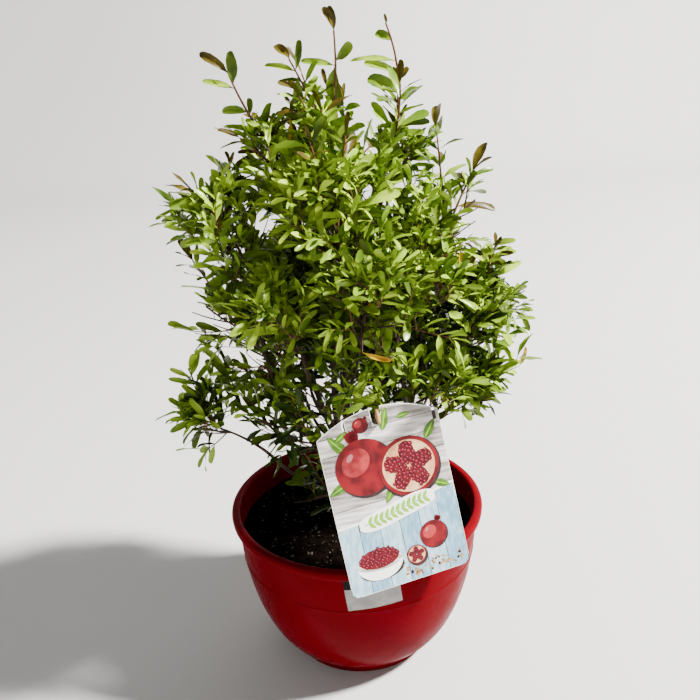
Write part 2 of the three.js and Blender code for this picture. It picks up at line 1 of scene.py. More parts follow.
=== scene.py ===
"""A young pomegranate shrub in its bowl pot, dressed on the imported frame.

Sizes are in millimetres and become metres where a mesh is made. -Y is the front and +X the right.

The shrub grows by the part's own rule: limbs are quadratic curves, each mass of foliage has a stem that
carries its bough on, twigs stand round that stem by the golden angle, and leaves stand in opposite pairs.
Where the solids have one enlarged leaf, a spray grows here: a short shoot with leaves of their real size.
"""
import math
from itertools import combinations, product

import bpy
import numpy as np
from mathutils import Matrix, Vector


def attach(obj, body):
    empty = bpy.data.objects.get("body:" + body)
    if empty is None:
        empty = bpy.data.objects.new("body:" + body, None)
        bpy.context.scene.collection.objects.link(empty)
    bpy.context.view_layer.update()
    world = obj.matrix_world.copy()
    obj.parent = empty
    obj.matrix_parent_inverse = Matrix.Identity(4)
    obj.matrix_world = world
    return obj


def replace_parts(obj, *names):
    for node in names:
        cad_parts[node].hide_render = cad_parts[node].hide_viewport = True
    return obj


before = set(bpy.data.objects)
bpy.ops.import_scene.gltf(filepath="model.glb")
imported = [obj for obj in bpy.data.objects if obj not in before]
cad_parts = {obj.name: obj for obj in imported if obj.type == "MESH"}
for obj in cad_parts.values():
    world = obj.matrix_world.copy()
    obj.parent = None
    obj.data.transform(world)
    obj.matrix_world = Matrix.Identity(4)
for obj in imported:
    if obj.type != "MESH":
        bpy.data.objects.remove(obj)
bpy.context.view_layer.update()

MM = 0.001
CLEARANCE = 0.3
BODY = "root"

# ---- The camera's place, fitted to the pot's rim and the card's corners

CAMERA_PLACE = (0.0, -668.3, 563.8)
CAMERA_TILT = 21.36  # degrees below level
CAMERA_PAN = 0.02
CAMERA_ROLL = -2.63
CAMERA_LENS = 41.14
CAMERA_SENSOR = 36.0

# ---- Sizes of the pot and the soil, as the part has them

RIM_RADIUS = 120.0
RIM_HEIGHT = 150.0
LIP_HEIGHT = 8.0
WALL_TOP_RADIUS = 114.3
WALL_THICKNESS = 2.6
BOWL_FOOT_RADIUS = 66.0
FOOT_RADIUS = 70.0
FOOT_HEIGHT = 7.0
FLOOR_THICKNESS = 4.0
WALL_RISE = RIM_HEIGHT - LIP_HEIGHT - FOOT_HEIGHT
RING_LINE_HEIGHT = 104.0  # the faint moulded line round the wall
SOIL_EDGE_HEIGHT = 125.0
SOIL_TOP_HEIGHT = 131.0
SOIL_FLAT_RADIUS = 17.0

# ---- Sizes of the limbs, as the part has them

STEM_HEIGHT = 46.0
STEM_RADIUS = 8.5
STEM_TAPER = 2.0
ROOT_FLARE = 5.0
ROOT_FLARE_POWER = 6
STEM_LEAN = np.array([3.0, -2.0, 0.0])
STEM_BOW = 0.3
BOUGH_TIP = 0.42
BOUGH_SAG = 0.1
BOUGH_SWAY = 0.05
MAIN_STEM = "main_stem"
# Name, parent, share, thickness, bough's end, mass's end, mass's reach. A place is (bearing, reach, height).
BOUGHS = [
    ("top_middle", MAIN_STEM, 0.97, 3.6, (250, 12, 385), (185, 6, 498), 70),
    ("top_left", MAIN_STEM, 0.9, 3.3, (172, 38, 385), (172, 62, 488), 68),
    ("top_right", MAIN_STEM, 0.92, 3.3, (28, 36, 385), (34, 54, 488), 68),
    ("upper_left", MAIN_STEM, 0.6, 3.6, (184, 80, 356), (181, 118, 444), 64),
    ("upper_right", MAIN_STEM, 0.7, 3.5, (-5, 64, 352), (-4, 110, 434), 66),
    ("upper_front", MAIN_STEM, 0.84, 3.4, (262, 40, 362), (252, 66, 456), 70),
    ("upper_back", MAIN_STEM, 0.78, 3.4, (88, 44, 362), (88, 74, 456), 70),
    ("middle_left", "upper_left", 0.42, 2.6, (190, 72, 284), (184, 112, 342), 62),
    ("middle_front_left", "upper_front", 0.4, 2.4, (226, 52, 290), (230, 98, 362), 70),
    ("middle_front", "upper_front", 0.52, 2.3, (278, 52, 318), (280, 100, 386), 70),
    ("middle_front_right", "upper_right", 0.45, 2.4, (318, 54, 300), (320, 104, 372), 70),
    ("middle_right", "upper_right", 0.5, 2.6, (0, 72, 280), (2, 134, 342), 66),
    ("middle_back_right", "top_right", 0.42, 2.5, (46, 56, 292), (48, 108, 362), 70),
    ("middle_back", "upper_back", 0.48, 2.4, (90, 56, 290), (92, 106, 356), 70),
    ("middle_back_left", "top_left", 0.4, 2.5, (134, 56, 290), (133, 106, 362), 70),
    ("low_left", MAIN_STEM, 0.36, 2.8, (188, 74, 200), (184, 134, 240), 64),
    ("low_front_left", MAIN_STEM, 0.5, 2.4, (226, 36, 206), (216, 84, 254), 56),
    ("low_front", "upper_front", 0.2, 2.3, (252, 40, 232), (254, 88, 284), 60),
    ("low_front_right", "upper_right", 0.22, 2.3, (320, 54, 240), (324, 104, 288), 60),
    ("low_right", MAIN_STEM, 0.48, 2.8, (2, 66, 216), (0, 122, 266), 56),
    ("low_back_right", "top_right", 0.2, 2.3, (44, 56, 230), (44, 112, 272), 64),
    ("low_back", "upper_back", 0.2, 2.4, (92, 56, 230), (92, 110, 272), 64),
    ("low_back_left", "top_left", 0.18, 2.3, (138, 56, 228), (138, 108, 270), 64),
    ("foot_sprout", MAIN_STEM, 0.2, 1.9, (228, 22, 158), (222, 52, 172), 44),
]
CUT_STUB = "cut_stub"  # it carries the card
STUB_PARENT = "middle_front"
STUB_AT = 0.5
STUB_THICK = 2.4
STUB_PAST = 6.0
STUB_SEAT = 0.78
STUB_APPROACH = 28.0
STUB_HEEL = 2.2  # how far its cut end is stretched up, to fill the card's notch
STUB_HEEL_RINGS = 4

# ---- Sizes of the card, as the part has them. Its own frame is across, up and out of its face.

CARD_WIDTH = 105.0
CARD_SIDE = 136.0
CARD_ARCH = 15.0
CARD_THICKNESS = 1.0
CARD_CORNER = 9.0
NOTCH_WIDTH, NOTCH_DEPTH = 9.0, 15.0
SLIT_WIDTH, SLIT_DEPTH = 2.4, 10.0
SLIT_INSET_LEFT, SLIT_INSET_RIGHT = 24.0, 4.0
CARD_CENTRE = np.array([31.9, -98.8, 203.3])
CARD_ACROSS = np.array([0.956, 0.275, 0.106])
CARD_FACING = np.array([0.235, -0.929, 0.285])

# ---- Growth, as the part has it

TWIGS = 5
TWIG_SHARES = (0.12, 0.9)
TWIG_REACH = 46.0
TWIG_SHORTER = 0.35
TWIG_REACH_RANGE = (0.8, 1.1)
TWIG_TILT = 1.25
TWIG_TILT_LESS = 0.55
TWIG_TILT_SPREAD = 0.3
TWIG_TURN_SPREAD = 0.5
TWIG_RISE = 0.15
TWIG_CUTS = (1.0, 0.75, 0.5)
TWIG_CLEAR = 4.0
STEM_LEAFY_FROM = 0.7
STEM_TIP_RADIUS = 1.2
STEM_TAPER_INSIDE = 0.6
TIP_LEAVES = 3
TIP_LEAF_TILT = 0.55
PAIR_TILT = 0.95
LEAF_TILT_SPREAD = 0.25
SITE_SHARE = 0.6
LIMB_PIECES = 8
LIMB_MARGIN = 0.8
GOLDEN_ANGLE = math.pi * (3 - math.sqrt(5))
UP = np.array([0.0, 0.0, 1.0])
SKY = np.array([0.15, -0.12, 1.0]) / math.sqrt(0.15**2 + 0.12**2 + 1)

# ---- Finer growth, which only the looks have

ROUNDS = 3  # sets of twigs on a stem: the first is the part's own
ROUND_RISE = 0.6  # how far the later sets turn up
TWIG_RADII = (0.8, 0.5)
SHOOT_RADII = (0.5, 0.25)
SPRAY_REACH = 58.0  # from a spray's foot to its furthest leaf tip
SPRAY_REACH_RANGE = (0.75, 1.1)
SPRAY_CUTS = (1.0, 0.78, 0.56, 0.4)
SPRAY_RISE = (0.4, 1.6)  # how far a spray turns up
SPRAY_HALF = 5.0
SPRAY_TURN = 1.4  # from a pair to the next
KEPT_LEAVES = 0.75  # the share of its leaves that a spray needs to keep
PAIR_SPACING = 9.0  # along a spray
LEAF_MISSING, LEAF_MORE_SHADED = 0.12, 0.25  # shares of a spray's leaves: those left out, and those painted one step more shaded
LEAF_SWING = 0.4  # how far a leaf's tilt and turn vary
LEAF_SIZE_RANGE = (0.75, 1.12)
LEAF_LENGTH_RANGE = (20.0, 33.0)
LEAF_SLENDER_RANGE = (0.21, 0.29)  # width over length
LEAF_STATIONS = np.array([0.0, 0.1, 0.28, 0.5, 0.75, 0.93, 1.0])
LEAF_HALF_WIDTHS = np.array([0.12, 0.22, 0.7, 0.94, 1.0, 0.76, 0.3])
LEAF_WAVE = 0.3  # how far the edges rise and fall, as a share of the half width
# A leaf's roll, arch, fold, twist and sway: the least, the spread, and the draw that gives the least.
LEAF_FORM = ((0, 2.0, 0.5), (0.04, 0.4, 0), (0.12, 0.45, 0), (0, 1.6, 0.5), (0, 0.24, 0.5))
CELL_OVERLAP = 9.0  # how far leaves of neighbouring masses reach between each other
INNER_RADIUS = 100.0  # low leaves may hang inside the pot up to here
BOUGH_SPRAY_SPACING = 7.0
BOUGH_SPRAY_RANGE = (0.8, 1.25)
BOUGH_SPRAY_TILT = (0.75, 1.15)
LEADER_TILT, SIDE_TILT = 0.6, 0.55  # of the leaves on upright shoots and on side shoots
LEAFY_FROM = {"low_left": 1.0, "low_front_left": 0.8}  # boughs that the photo shows bare
BARE_STEMS = {"low_left": 0.6}  # masses whose stem the photo shows bare, up to this share
LEAVES_A_PIECE = 8000
# The kinds of leaves: young ones high up, and greens with painted shade low down and painted light
# the more a spray stands out in the light, with more contrast low down.
GOLD_SHARE = 0.003
YOUNG_FROM, YOUNG_SHARE = 450, 0.07
SHADED_BELOW, SHADED_DEEP_SHARE = 190, 0.4
LIT_FROM, LIT_OVER = 200, 330
LOW_FROM, LOW_OVER = 360, 120
LOW_FRONT_FROM, LOW_FRONT_LIFT = -40, 0.35
LOW_CONTRAST, EXPOSED_LIFT, RIGHT_LIFT = 0.7, 0.8, 0.0006
KIND_STEPS = (0.7, 0.3, 0.0)  # from here up a spray's green is painted light, half lit or half shaded
# How much of its sprays a mass keeps, where it isn't all.
FULLNESS = {
    "foot_sprout": 0.1, "low_front_left": 0.2, "low_left": 0.45, "low_front": 0.4, "low_back_left": 0.55,
    "middle_left": 0.6, "low_right": 0.65, "middle_front_left": 0.55, "middle_front": 0.6,
    "middle_front_right": 0.65, "low_front_right": 0.55, "top_middle": 0.6, "top_left": 0.65,
    "top_right": 0.65, "upper_left": 0.75, "upper_front": 0.75, "upper_right": 0.75, "upper_back": 0.75,
    "middle_right": 0.85,
}
# Shoots with leaves of their own: the mass that each one grows from, its foot's share of the mass's stem,
# its tip, how far it bows to the right, and its leaves as (root's height, tip's x and z, width, kind).
# The first four are upright and top the crown. The last two only hold a gold leaf.
# A leaf's kind, where it isn't young or gold, is its green with light or shade painted in.
TOP_SHOOTS = [
    ("top_middle", 0.97, (-1, 0, 569), 2, [
        (569, -5, 586, 8, "young"), (569, -1, 586, 7, "young"), (547, 13, 557, 10, "deep"),
        (543, -26, 549, 7, "fresh"), (543, -6, 518, 13, "fresh"), (532, 1, 513, 7, "deep"),
    ]),
    ("top_right", 0.97, (40, 10, 573), 8, [
        (559, 33, 567, 9, "fresh"), (572, 40, 579, 3, "young"), (534, 26, 548, 8, "light"),
        (544, 14, 551, 7, "light"), (518, 29, 535, 14, "fresh"), (510, 36, 525, 9, "deep"),
        (530, 51, 541, 6, "young"), (530, 58, 538, 6, "young"), (514, 61, 519, 8, "fresh"),
    ]),
    ("top_left", 0.97, (-86, 2, 541), -2, [
        (541, -103, 559, 9, "young"), (533, -81, 556, 11, "deep"), (529, -107, 537, 7, "light"),
        (510, -92, 516, 9, "fresh"), (508, -71, 521, 6, "deep"), (494, -92, 503, 7, "fresh"),
        (500, -58, 508, 8, "fresh"),
    ]),
    ("top_middle", 0.7, (-37, -4, 550), 3, [
        (550, -46, 561, 9, "young"), (549, -41, 559, 6, "young"), (540, -54, 549, 7, "light"),
        (541, -26, 562, 7, "deep"), (537, -32, 509, 11, "fresh"), (534, -15, 517, 8, "fresh"),
        (528, -40, 514, 7, "deep"), (520, -18, 530, 9, "fresh"),
    ]),
    ("middle_front", 0.35, (9, -130, 351), 0, [(351, 28, 343, 4.5, "gold")]),
    ("low_right", 0.9, (152, -4, 281), 0, [(281, 157, 298, 6, "gold")]),
]
# Further upright shoots: the mass, the foot's share, the tip, the pairs of leaves, and where they differ from
# the rule how far it bows to the right and the size and spread of the pair at its tip.
LEADERS = [
    ("top_middle", 0.7, (-28, 4, 538), 6, 0, 0.9, 0.1), ("upper_right", 0.7, (79, 6, 492), 5, 0, 0.9, 0.5),
    ("top_middle", 0.6, (-30, -14, 522), 7), ("top_middle", 0.7, (-14, -20, 512), 6),
    ("top_middle", 0.5, (-36, 8, 510), 6), ("top_left", 0.8, (-64, 12, 497), 4),
    ("top_left", 0.7, (-80, -8, 492), 4, 0, 0.8, 0.3), ("top_right", 0.7, (49, -10, 528), 8, 4, 0.7, 0.1),
    ("top_right", 0.6, (48, 8, 496), 5), ("upper_right", 0.75, (108, 0, 455), 4, 0, 0.95, 0.25),
    ("upper_left", 0.9, (-96, 2, 452), 4), ("upper_left", 0.9, (-120, -14, 450), 5, 0, 0.8, 0.3),
    ("upper_left", 0.7, (-94, 16, 466), 5), ("upper_back", 0.9, (-10, 78, 524), 6),
    ("upper_back", 0.7, (4, 60, 510), 6), ("upper_back", 0.8, (-34, 72, 502), 6),
    ("upper_back", 0.9, (40, 92, 480), 5), ("upper_front", 0.8, (-22, -70, 494), 6),
    ("upper_front", 0.6, (4, -58, 496), 6), ("middle_right", 0.85, (127, -4, 388), 4, 0, 0.65, 0.5),
    ("middle_right", 0.85, (123, -10, 386), 3, 0, 0.6, 0.25),
    ("middle_left", 0.8, (-130, -4, 392), 4, 0, 0.8, 0.4),
]
# Leafy side shoots where the crown reaches out or closes up: mass, foot's share, tip, pairs of leaves.
SIDE_SHOOTS = [
    ("upper_right", 0.2, (124, 0, 392), 5), ("upper_right", 0.05, (114, -14, 382), 5),
    ("upper_right", 0.8, (117, 0, 428), 3), ("middle_right", 0.25, (142, 6, 308), 5),
    ("upper_right", 0.3, (110, 6, 402), 5), ("middle_right", 0.5, (123, 2, 384), 4),
    ("upper_right", 0.2, (76, 4, 460), 5), ("top_right", 0.2, (62, 4, 450), 5),
    ("upper_right", 0.8, (106, 4, 436), 4), ("low_right", 0.9, (128, -6, 298), 4),
    ("low_right", 0.85, (120, 4, 252), 4), ("low_right", 0.9, (150, -4, 288), 4),
    ("low_left", 0.95, (-154, 0, 246), 5), ("low_left", 0.85, (-151, -4, 250), 5),
    ("low_left", 0.75, (-146, 8, 230), 5), ("low_left", 0.75, (-140, -2, 209), 4),
    ("low_left", 0.9, (-146, 2, 282), 5), ("middle_left", 0.7, (-136, 0, 325), 4),
    ("middle_left", 0.15, (-111, 0, 288), 5), ("low_left", 0.9, (-146, 4, 288), 4),
    ("upper_left", 0.3, (-62, 0, 428), 4), ("upper_left", 0.85, (-138, 2, 436), 4),
    ("top_right", 0.3, (56, -14, 452), 5), ("top_right", 0.4, (32, 12, 496), 5),
    ("top_right", 0.15, (46, -18, 434), 5), ("low_front_left", 0.3, (-82, -34, 244), 5),
    ("low_front_left", 0.15, (-60, -30, 236), 5), ("foot_sprout", 0.5, (-48, -30, 224), 5),
    ("foot_sprout", 0.6, (-30, -30, 226), 4), ("low_front", 0.4, (10, -62, 282), 5),
    ("low_right", 0.5, (100, -8, 246), 3), ("middle_left", 0.5, (-112, 0, 322), 5),
    ("middle_left", 0.8, (-137, 0, 327), 4), ("middle_left", 0.2, (-112, -6, 294), 4),
    ("low_front_left", 0.3, (-80, -10, 233), 4), ("upper_left", 0.4, (-75, -10, 427), 4),
    ("upper_right", 0.5, (82, 0, 460), 4), ("upper_right", 0.4, (97, -6, 409), 4),
    ("middle_right", 0.6, (125, -4, 384), 4), ("low_front_left", 0.7, (-98, -30, 262), 5),
    ("middle_left", 0.1, (-106, 0, 268), 5), ("middle_left", 0.15, (-88, 4, 262), 4),
    ("low_front_left", 0.8, (-104, -20, 280), 4), ("low_left", 0.9, (-128, 6, 280), 4),
    ("low_left", 0.85, (-112, 0, 262), 3), ("low_front", 0.2, (-30, -40, 272), 4),
    ("upper_left", 0.9, (-100, 6, 474), 3), ("middle_left", 0.1, (-94, 10, 300), 3),
]
# Where the photo shows sky through the crown: circles in the plane y = 0 as (x, z, radius), as the camera
# sees them.
OPENINGS = np.array([
    (-60, 534, 24), (17, 522, 22), (-102, 197, 17), (-131, 347, 10), (-21, 548, 9), (-110, 232, 11),
    (-93, 486, 10), (-150, 312, 8), (93, 462, 10), (-68, 421, 8), (109, 410, 8), (-105, 310, 8),
    (-162, 276, 8), (90, 229, 8), (69, 229, 8), (-129, 220, 5), (85, 200, 8), (-85, 298, 8), (-37, 258, 9),
    (6, 234, 5), (24, 484, 7), (-115, 337, 7), (-93, 530, 5), (-83, 505, 5), (21, 445, 6), (99, 432, 7),
    (65, 504, 10), (80, 477, 5), (20, 506, 15), (37, 508, 8), (121, 434, 15), (-124, 464, 13),
    (-108, 474, 8), (122, 412, 12), (119, 465, 12), (146, 368, 9), (103, 480, 9), (-43, 522, 10),
    (-63, 518, 8), (52, 549, 7), (103, 410, 7), (-34, 250, 7), (74, 512, 8),
], float)
# Where the sprays get more painted light or more painted shade than by the rule: places seen in the same way,
# and the lift.
PAINTED_LIGHT_AND_SHADE_SPOTS = np.array([
    (-85, 490, 60, 0.6), (-48, 450, 60, 0.8), (-100, 430, 45, 0.4), (-130, 350, 40, 0.5),
    (-165, 245, 45, 0.8), (-120, 275, 45, 0.4), (-65, 270, 45, 0.1), (-35, 225, 45, -0.6),
    (92, 298, 36, -0.8), (130, 355, 35, -0.2), (120, 445, 30, -0.4), (0, 420, 45, 0.4),
    (-60, 370, 50, 0.3), (-32, 330, 36, -0.2), (-131, 213, 28, -0.6),
], float)


# ---- Small helpers


def unit(vector):
    return vector / np.linalg.norm(vector)


def in_range(pair, share):
    return pair[0] + (pair[1] - pair[0]) * share


def place(spot):
    bearing, reach, height = spot
    angle = math.radians(bearing)
    return np.array([reach * math.cos(angle), reach * math.sin(angle), height])


def random_from(seed):
    """The part's repeatable numbers from 0 to 1."""
    state = seed & 0xFFFFFFFF

    def draw():
        nonlocal state
        state = (state + 0x6D2B79F5) & 0xFFFFFFFF
        t = ((state ^ (state >> 15)) * (1 | state)) & 0xFFFFFFFF
        t = ((t + (((t ^ (t >> 7)) * (61 | t)) & 0xFFFFFFFF)) & 0xFFFFFFFF) ^ t
        return ((t ^ (t >> 14)) & 0xFFFFFFFF) / 2**32

    return draw


class Bend:
    """A quadratic curve from foot to tip, and a limb's radius along it."""

    def __init__(self, foot, knee, tip, radius_at=None):
        self.foot, self.knee, self.tip, self.radius_at = foot, knee, tip, radius_at

    def at(self, share):
        left = 1 - share
        return left * left * self.foot + 2 * share * left * self.knee + share * share * self.tip

    def heading(self, share):
        return unit((1 - share) * (self.knee - self.foot) + share * (self.tip - self.knee))

    def run(self, count):
        return [self.at(s) for s in np.linspace(0, 1, count)]


def branch_off(axis, tilt, turn):
    """A direction at `tilt` from an axis, turned about it by `turn`."""
    side = unit(np.cross(axis, [1.0, 0.0, 0.0] if abs(axis[2]) > 0.95 else UP))
    other = np.cross(axis, side)
    return math.cos(tilt) * axis + math.sin(tilt) * (math.cos(turn) * side + math.sin(turn) * other)


def segment_gaps(a, b, starts, ends):
    """Shortest distances from the segment a-b to many others."""
    u, v, w = b - a, ends - starts, a - starts
    uu, uv, vv = u @ u, v @ u, (v * v).sum(1)
    uw, vw = w @ u, (v * w).sum(1)
    across = uu * vv - uv * uv
    s = np.where(across > 1e-9, np.clip((uv * vw - vv * uw) / np.maximum(across, 1e-9), 0, 1), 0)
    t = (uv * s + vw) / vv
    out = (t < 0) | (t > 1)
    t = np.clip(t, 0, 1)
    s = np.where(out, np.clip((uv * t - uw) / uu, 0, 1), s)
    return np.linalg.norm(w + np.outer(s, u) - v * t[:, None], axis=1)


# ---- Meshes


def into_scene(name, data):
    thing = bpy.data.objects.new(name, data)
    bpy.context.scene.collection.objects.link(thing)
    return thing


def make_piece(name, points, faces, materials, smooth=True, marks=None):
    """A mesh piece from points in millimetres. `marks` gives each face's material."""
    mesh = bpy.data.meshes.new(name)
    mesh.from_pydata((np.asarray(points) * MM).tolist(), [], faces)
    for material in materials:
        mesh.materials.append(material)
    mesh.polygons.foreach_set("use_smooth", [smooth] * len(mesh.polygons))
    if marks is not None:
        mesh.polygons.foreach_set("material_index", marks)
    mesh.update()
    piece = into_scene(name, mesh)
    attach(piece, BODY)
    return piece


class Pile:
    """Many small shapes that become one piece."""

    def __init__(self):
        self.points, self.faces, self.marks, self.count = [], [], [], 0

    def add(self, points, faces, mark=0):
        self.points.append(np.asarray(points, float))
        self.faces.extend([[i + self.count for i in face] for face in faces])
        self.marks.extend([mark] * len(faces))
        self.count += len(points)

    def piece(self, name, materials, slot, smooth=True):
        return make_piece(name, np.concatenate(self.points), self.faces, materials, smooth, self.marks)


def ring_faces(rings, sides):
    """Quads between rings of `sides` points, one ring after the other."""
    return [
        [r * sides + i, r * sides + (i + 1) % sides, (r + 1) * sides + (i + 1) % sides, (r + 1) * sides + i]
        for r in range(rings - 1)
        for i in range(sides)
    ]


def circle_angles(sides):
    return np.arange(sides) * 2 * math.pi / sides


def tube(centres, radii, sides, relief=None):
    """Rings of points round a run of centres. `relief` scales each radius by (angles, length so far)."""
    centres = np.asarray(centres, float)
    headings = np.gradient(centres, axis=0)
    headings /= np.linalg.norm(headings, axis=1)[:, None]
    side = unit(np.cross(headings[0], [0.31, 0.77, 0.55]))
    angles = circle_angles(sides)
    rings = []
    length = 0.0
    for i, (centre, heading) in enumerate(zip(centres, headings)):
        length += np.linalg.norm(centre - centres[i - 1]) if i else 0.0
        side = unit(side - heading * (side @ heading))
        radius = radii[i] * (np.ones(sides) if relief is None else relief(angles, length))
        spokes = np.outer(np.cos(angles) * radius, side)
        rings.append(centre + (spokes + np.outer(np.sin(angles) * radius, np.cross(heading, side))))
    return np.concatenate(rings)


def thin_tube(pile, centres, radii, sides):
    points = tube(centres, np.linspace(*radii, len(centres)), sides)
    pile.add(points, ring_faces(len(centres), sides))


def turned(profile, sides):
    """Points and faces of a profile of (radius, height) turned about +Z. The ends may lie on the axis."""
    points = [[r * math.cos(a), r * math.sin(a), z] for r, z in profile for a in circle_angles(sides)]
    return points, ring_faces(len(profile), sides)


# ---- Materials


def node_material(name, colour, roughness, **sockets):
    """A principled material with the numbers that are the same all over it set on its own sockets."""
    material = bpy.data.materials.new(name)
    material.use_nodes = True
    shader = material.node_tree.nodes["Principled BSDF"]
    shader.inputs["Base Color"].default_value = (*colour, 1.0)
    set_inputs(shader, Roughness=roughness, **sockets)
    return material


def set_inputs(node, **values):
    for name, value in values.items():
        node.inputs[name.replace("_", " ")].default_value = value
    return node


def add_node(material, kind, source, socket, **values):
    """A shader node with its inputs set, and with an output of another node led into one of them."""
    node = set_inputs(material.node_tree.nodes.new(f"ShaderNode{kind}"), **values)
    material.node_tree.links.new(source, node.inputs[socket])
    return node


def lead(material, source, socket):
    shader = material.node_tree.nodes["Principled BSDF"]
    material.node_tree.links.new(source, shader.inputs[socket])


def add_noise(material, scale, detail, stretch=(1.0, 1.0, 1.0)):
    """The factor of a noise texture in the object's own coordinates."""
    place_in = material.node_tree.nodes.new("ShaderNodeTexCoord").outputs["Object"]
    mapping = add_node(material, "Mapping", place_in, "Vector", Scale=stretch)
    noise = add_node(material, "TexNoise", mapping.outputs["Vector"], "Vector", Scale=scale, Detail=detail)
    return noise.outputs["Fac"]


def surface(name, dark, light, roughness, grain, span, bump=None, plain=None, **sockets):
    """A mottled material. `grain` is its noise's scale, detail and stretch, and `span` says where in the
    noise the dark and the light begin. `bump` is a strength and a depth, and a grain of its own where it has
    one. `plain` is the colour under the mottling, where it isn't the light one."""
    material = node_material(name, plain or light, roughness, **sockets)
    noise = add_noise(material, *grain)
    ramp = add_node(material, "ValToRGB", noise, "Fac")
    for element, position, colour in zip(ramp.color_ramp.elements, span, (dark, light)):
        element.position = position
        element.color = (*colour, 1.0)
    lead(material, ramp.outputs["Color"], "Base Color")
    if bump:
        strength, depth, *own = bump
        height = add_noise(material, *own) if own else noise
        lead(material, add_node(
            material, "Bump", height, "Height", Strength=strength, Distance=depth
        ).outputs["Normal"], "Normal")
    return material


def leaf_material(name, dark, light, roughness, shine):
    grain, span, bump = (70.0, 2.0), (0.35, 0.65), (0.25, 0.0002, 900.0, 2.0)
    return surface(f"leaf_{name}", dark, light, roughness, grain, span, bump, Specular_IOR_Level=shine)


def bark_material(name, dark, light, scale):
    grain, span, bump = (scale, 6.0, (1.0, 1.0, 0.3)), (0.3, 0.7), (0.6, 0.0006)
    return surface(name, dark, light, 0.8, grain, span, bump, Specular_IOR_Level=0.3)


def pot_material():
    """Red plastic, a little worn."""
    material = surface(
        "red_plastic", (0.085, 0.0, 0.002), (0.112, 0.0, 0.004), 0.25, (14.0, 3.0), (0.3, 0.7),
        (0.15, 0.0002, 700.0, 3.0), (0.1, 0.0, 0.003), IOR=1.12, Specular_IOR_Level=0.12,
    )
    wear = add_node(
        material, "MapRange", add_noise(material, 60.0, 5.0), "Value",
        From_Min=0.35, From_Max=0.65, To_Min=0.2, To_Max=0.4,
    )
    lead(material, wear.outputs["Result"], "Roughness")
    return material


# The greens light, fresh, deep and shade are one leaf green with painted light and painted shade at four
# levels; young and gold are the leaves' own colours.
LEAVES = {
    "light": leaf_material("light", (0.15, 0.25, 0.014), (0.29, 0.41, 0.03), 0.24, 0.15),
    "fresh": leaf_material("fresh", (0.08, 0.148, 0.009), (0.165, 0.255, 0.016), 0.24, 0.15),
    "deep": leaf_material("deep", (0.036, 0.067, 0.004), (0.08, 0.118, 0.009), 0.26, 0.12),
    "shade": leaf_material("shade", (0.009, 0.02, 0.001), (0.022, 0.04, 0.003), 0.3, 0.1),
    "young": leaf_material("young", (0.035, 0.024, 0.003), (0.08, 0.062, 0.006), 0.32, 0.1),
    "gold": leaf_material("gold", (0.16, 0.06, 0.002), (0.4, 0.25, 0.006), 0.34, 0.08),
}
GREENS = ("light", "fresh", "deep", "shade")  # the painted light and shade of the greens, from lit to shaded; from a spray's kind, a leaf may be painted one step more shaded
OLD_BARK = bark_material("old_bark", (0.01, 0.006, 0.004), (0.05, 0.034, 0.024), 90.0)
TWIG_BARK = bark_material("twig_bark", (0.016, 0.008, 0.005), (0.06, 0.032, 0.018), 140.0)
SHOOT_BARK = bark_material("shoot_bark", (0.06, 0.02, 0.009), (0.14, 0.055, 0.02), 120.0)
CUT_WOOD = bark_material("cut_wood", (0.22, 0.115, 0.035), (0.38, 0.235, 0.085), 400.0)
DRY_WOOD = bark_material("dry_wood", (0.2, 0.17, 0.13), (0.42, 0.38, 0.31), 200.0)
RED_PLASTIC = pot_material()
# The soil's own dark colour, darkened further to near black as painted shade; its mottling and bump are real.
SHADED_DARK_SOIL = surface(
    "shaded_dark_soil", (0.0008, 0.0006, 0.0005), (0.005, 0.0033, 0.0024), 0.95, (160.0, 8.0), (0.3, 0.75),
    (0.9, 0.002), (0.006, 0.004, 0.003), Specular_IOR_Level=0.0,
)


# ---- Limbs

limbs = {}


def add_main_stem():
    foot = np.array([0.0, 0.0, SOIL_TOP_HEIGHT + CLEARANCE])
    top = foot + STEM_LEAN + STEM_HEIGHT * UP
    limbs[MAIN_STEM] = Bend(
        foot, (foot + top) / 2 - STEM_BOW * STEM_LEAN, top,
        lambda s: STEM_RADIUS - STEM_TAPER * s + ROOT_FLARE * (1 - s) ** ROOT_FLARE_POWER,
    )


def add_bough(index, name, parent, at, thick, enters):
    foot = limbs[parent].at(at)
    tip = place(enters)
    chord = tip - foot
    length = np.linalg.norm(chord)
    side = unit(np.cross(chord, UP))
    sway = 2 * BOUGH_SWAY * length * (1 if index % 2 else -1)
    knee = (foot + tip) / 2 + 2 * BOUGH_SAG * length * unit(np.cross(chord, side)) + sway * side
    limbs[name] = Bend(foot, knee, tip, lambda s: thick * (1 - (1 - BOUGH_TIP) * s))


card_up = unit(np.cross(CARD_FACING, CARD_ACROSS))
card_axes = np.array([unit(CARD_ACROSS), card_up, unit(np.cross(unit(CARD_ACROSS), card_up))])


def on_card(points):
    """Places in the card's own frame as places in the part's frame."""
    return CARD_CENTRE + np.asarray(points, float) @ card_axes


def card_top(across):
    return CARD_SIDE / 2 + CARD_ARCH * (1 - (2 * across / CARD_WIDTH) ** 2)


def add_stub():
    seat = card_top(0) - NOTCH_DEPTH + STUB_SEAT * STUB_THICK + CLEARANCE
    foot = limbs[STUB_PARENT].at(STUB_AT)
    knee = on_card([0, seat, -STUB_APPROACH])
    tip = on_card([0, seat, CARD_THICKNESS + STUB_PAST])
    limbs[CUT_STUB] = Bend(foot, knee, tip, lambda s: STUB_THICK * (1.1 - 0.2 * s))


add_main_stem()
for number, (bough, parent, at, thick, enters, *_) in enumerate(BOUGHS):
    add_bough(number, bough, parent, at, thick, enters)
add_stub()

limb_steps = [(limb, i) for limb in limbs.values() for i in range(LIMB_PIECES)]
piece_starts = np.array([limb.at(i / LIMB_PIECES) for limb, i in limb_steps])
piece_ends = np.array([limb.at((i + 1) / LIMB_PIECES) for limb, i in limb_steps])
piece_radii = np.array([limb.radius_at(i / LIMB_PIECES) for limb, i in limb_steps])


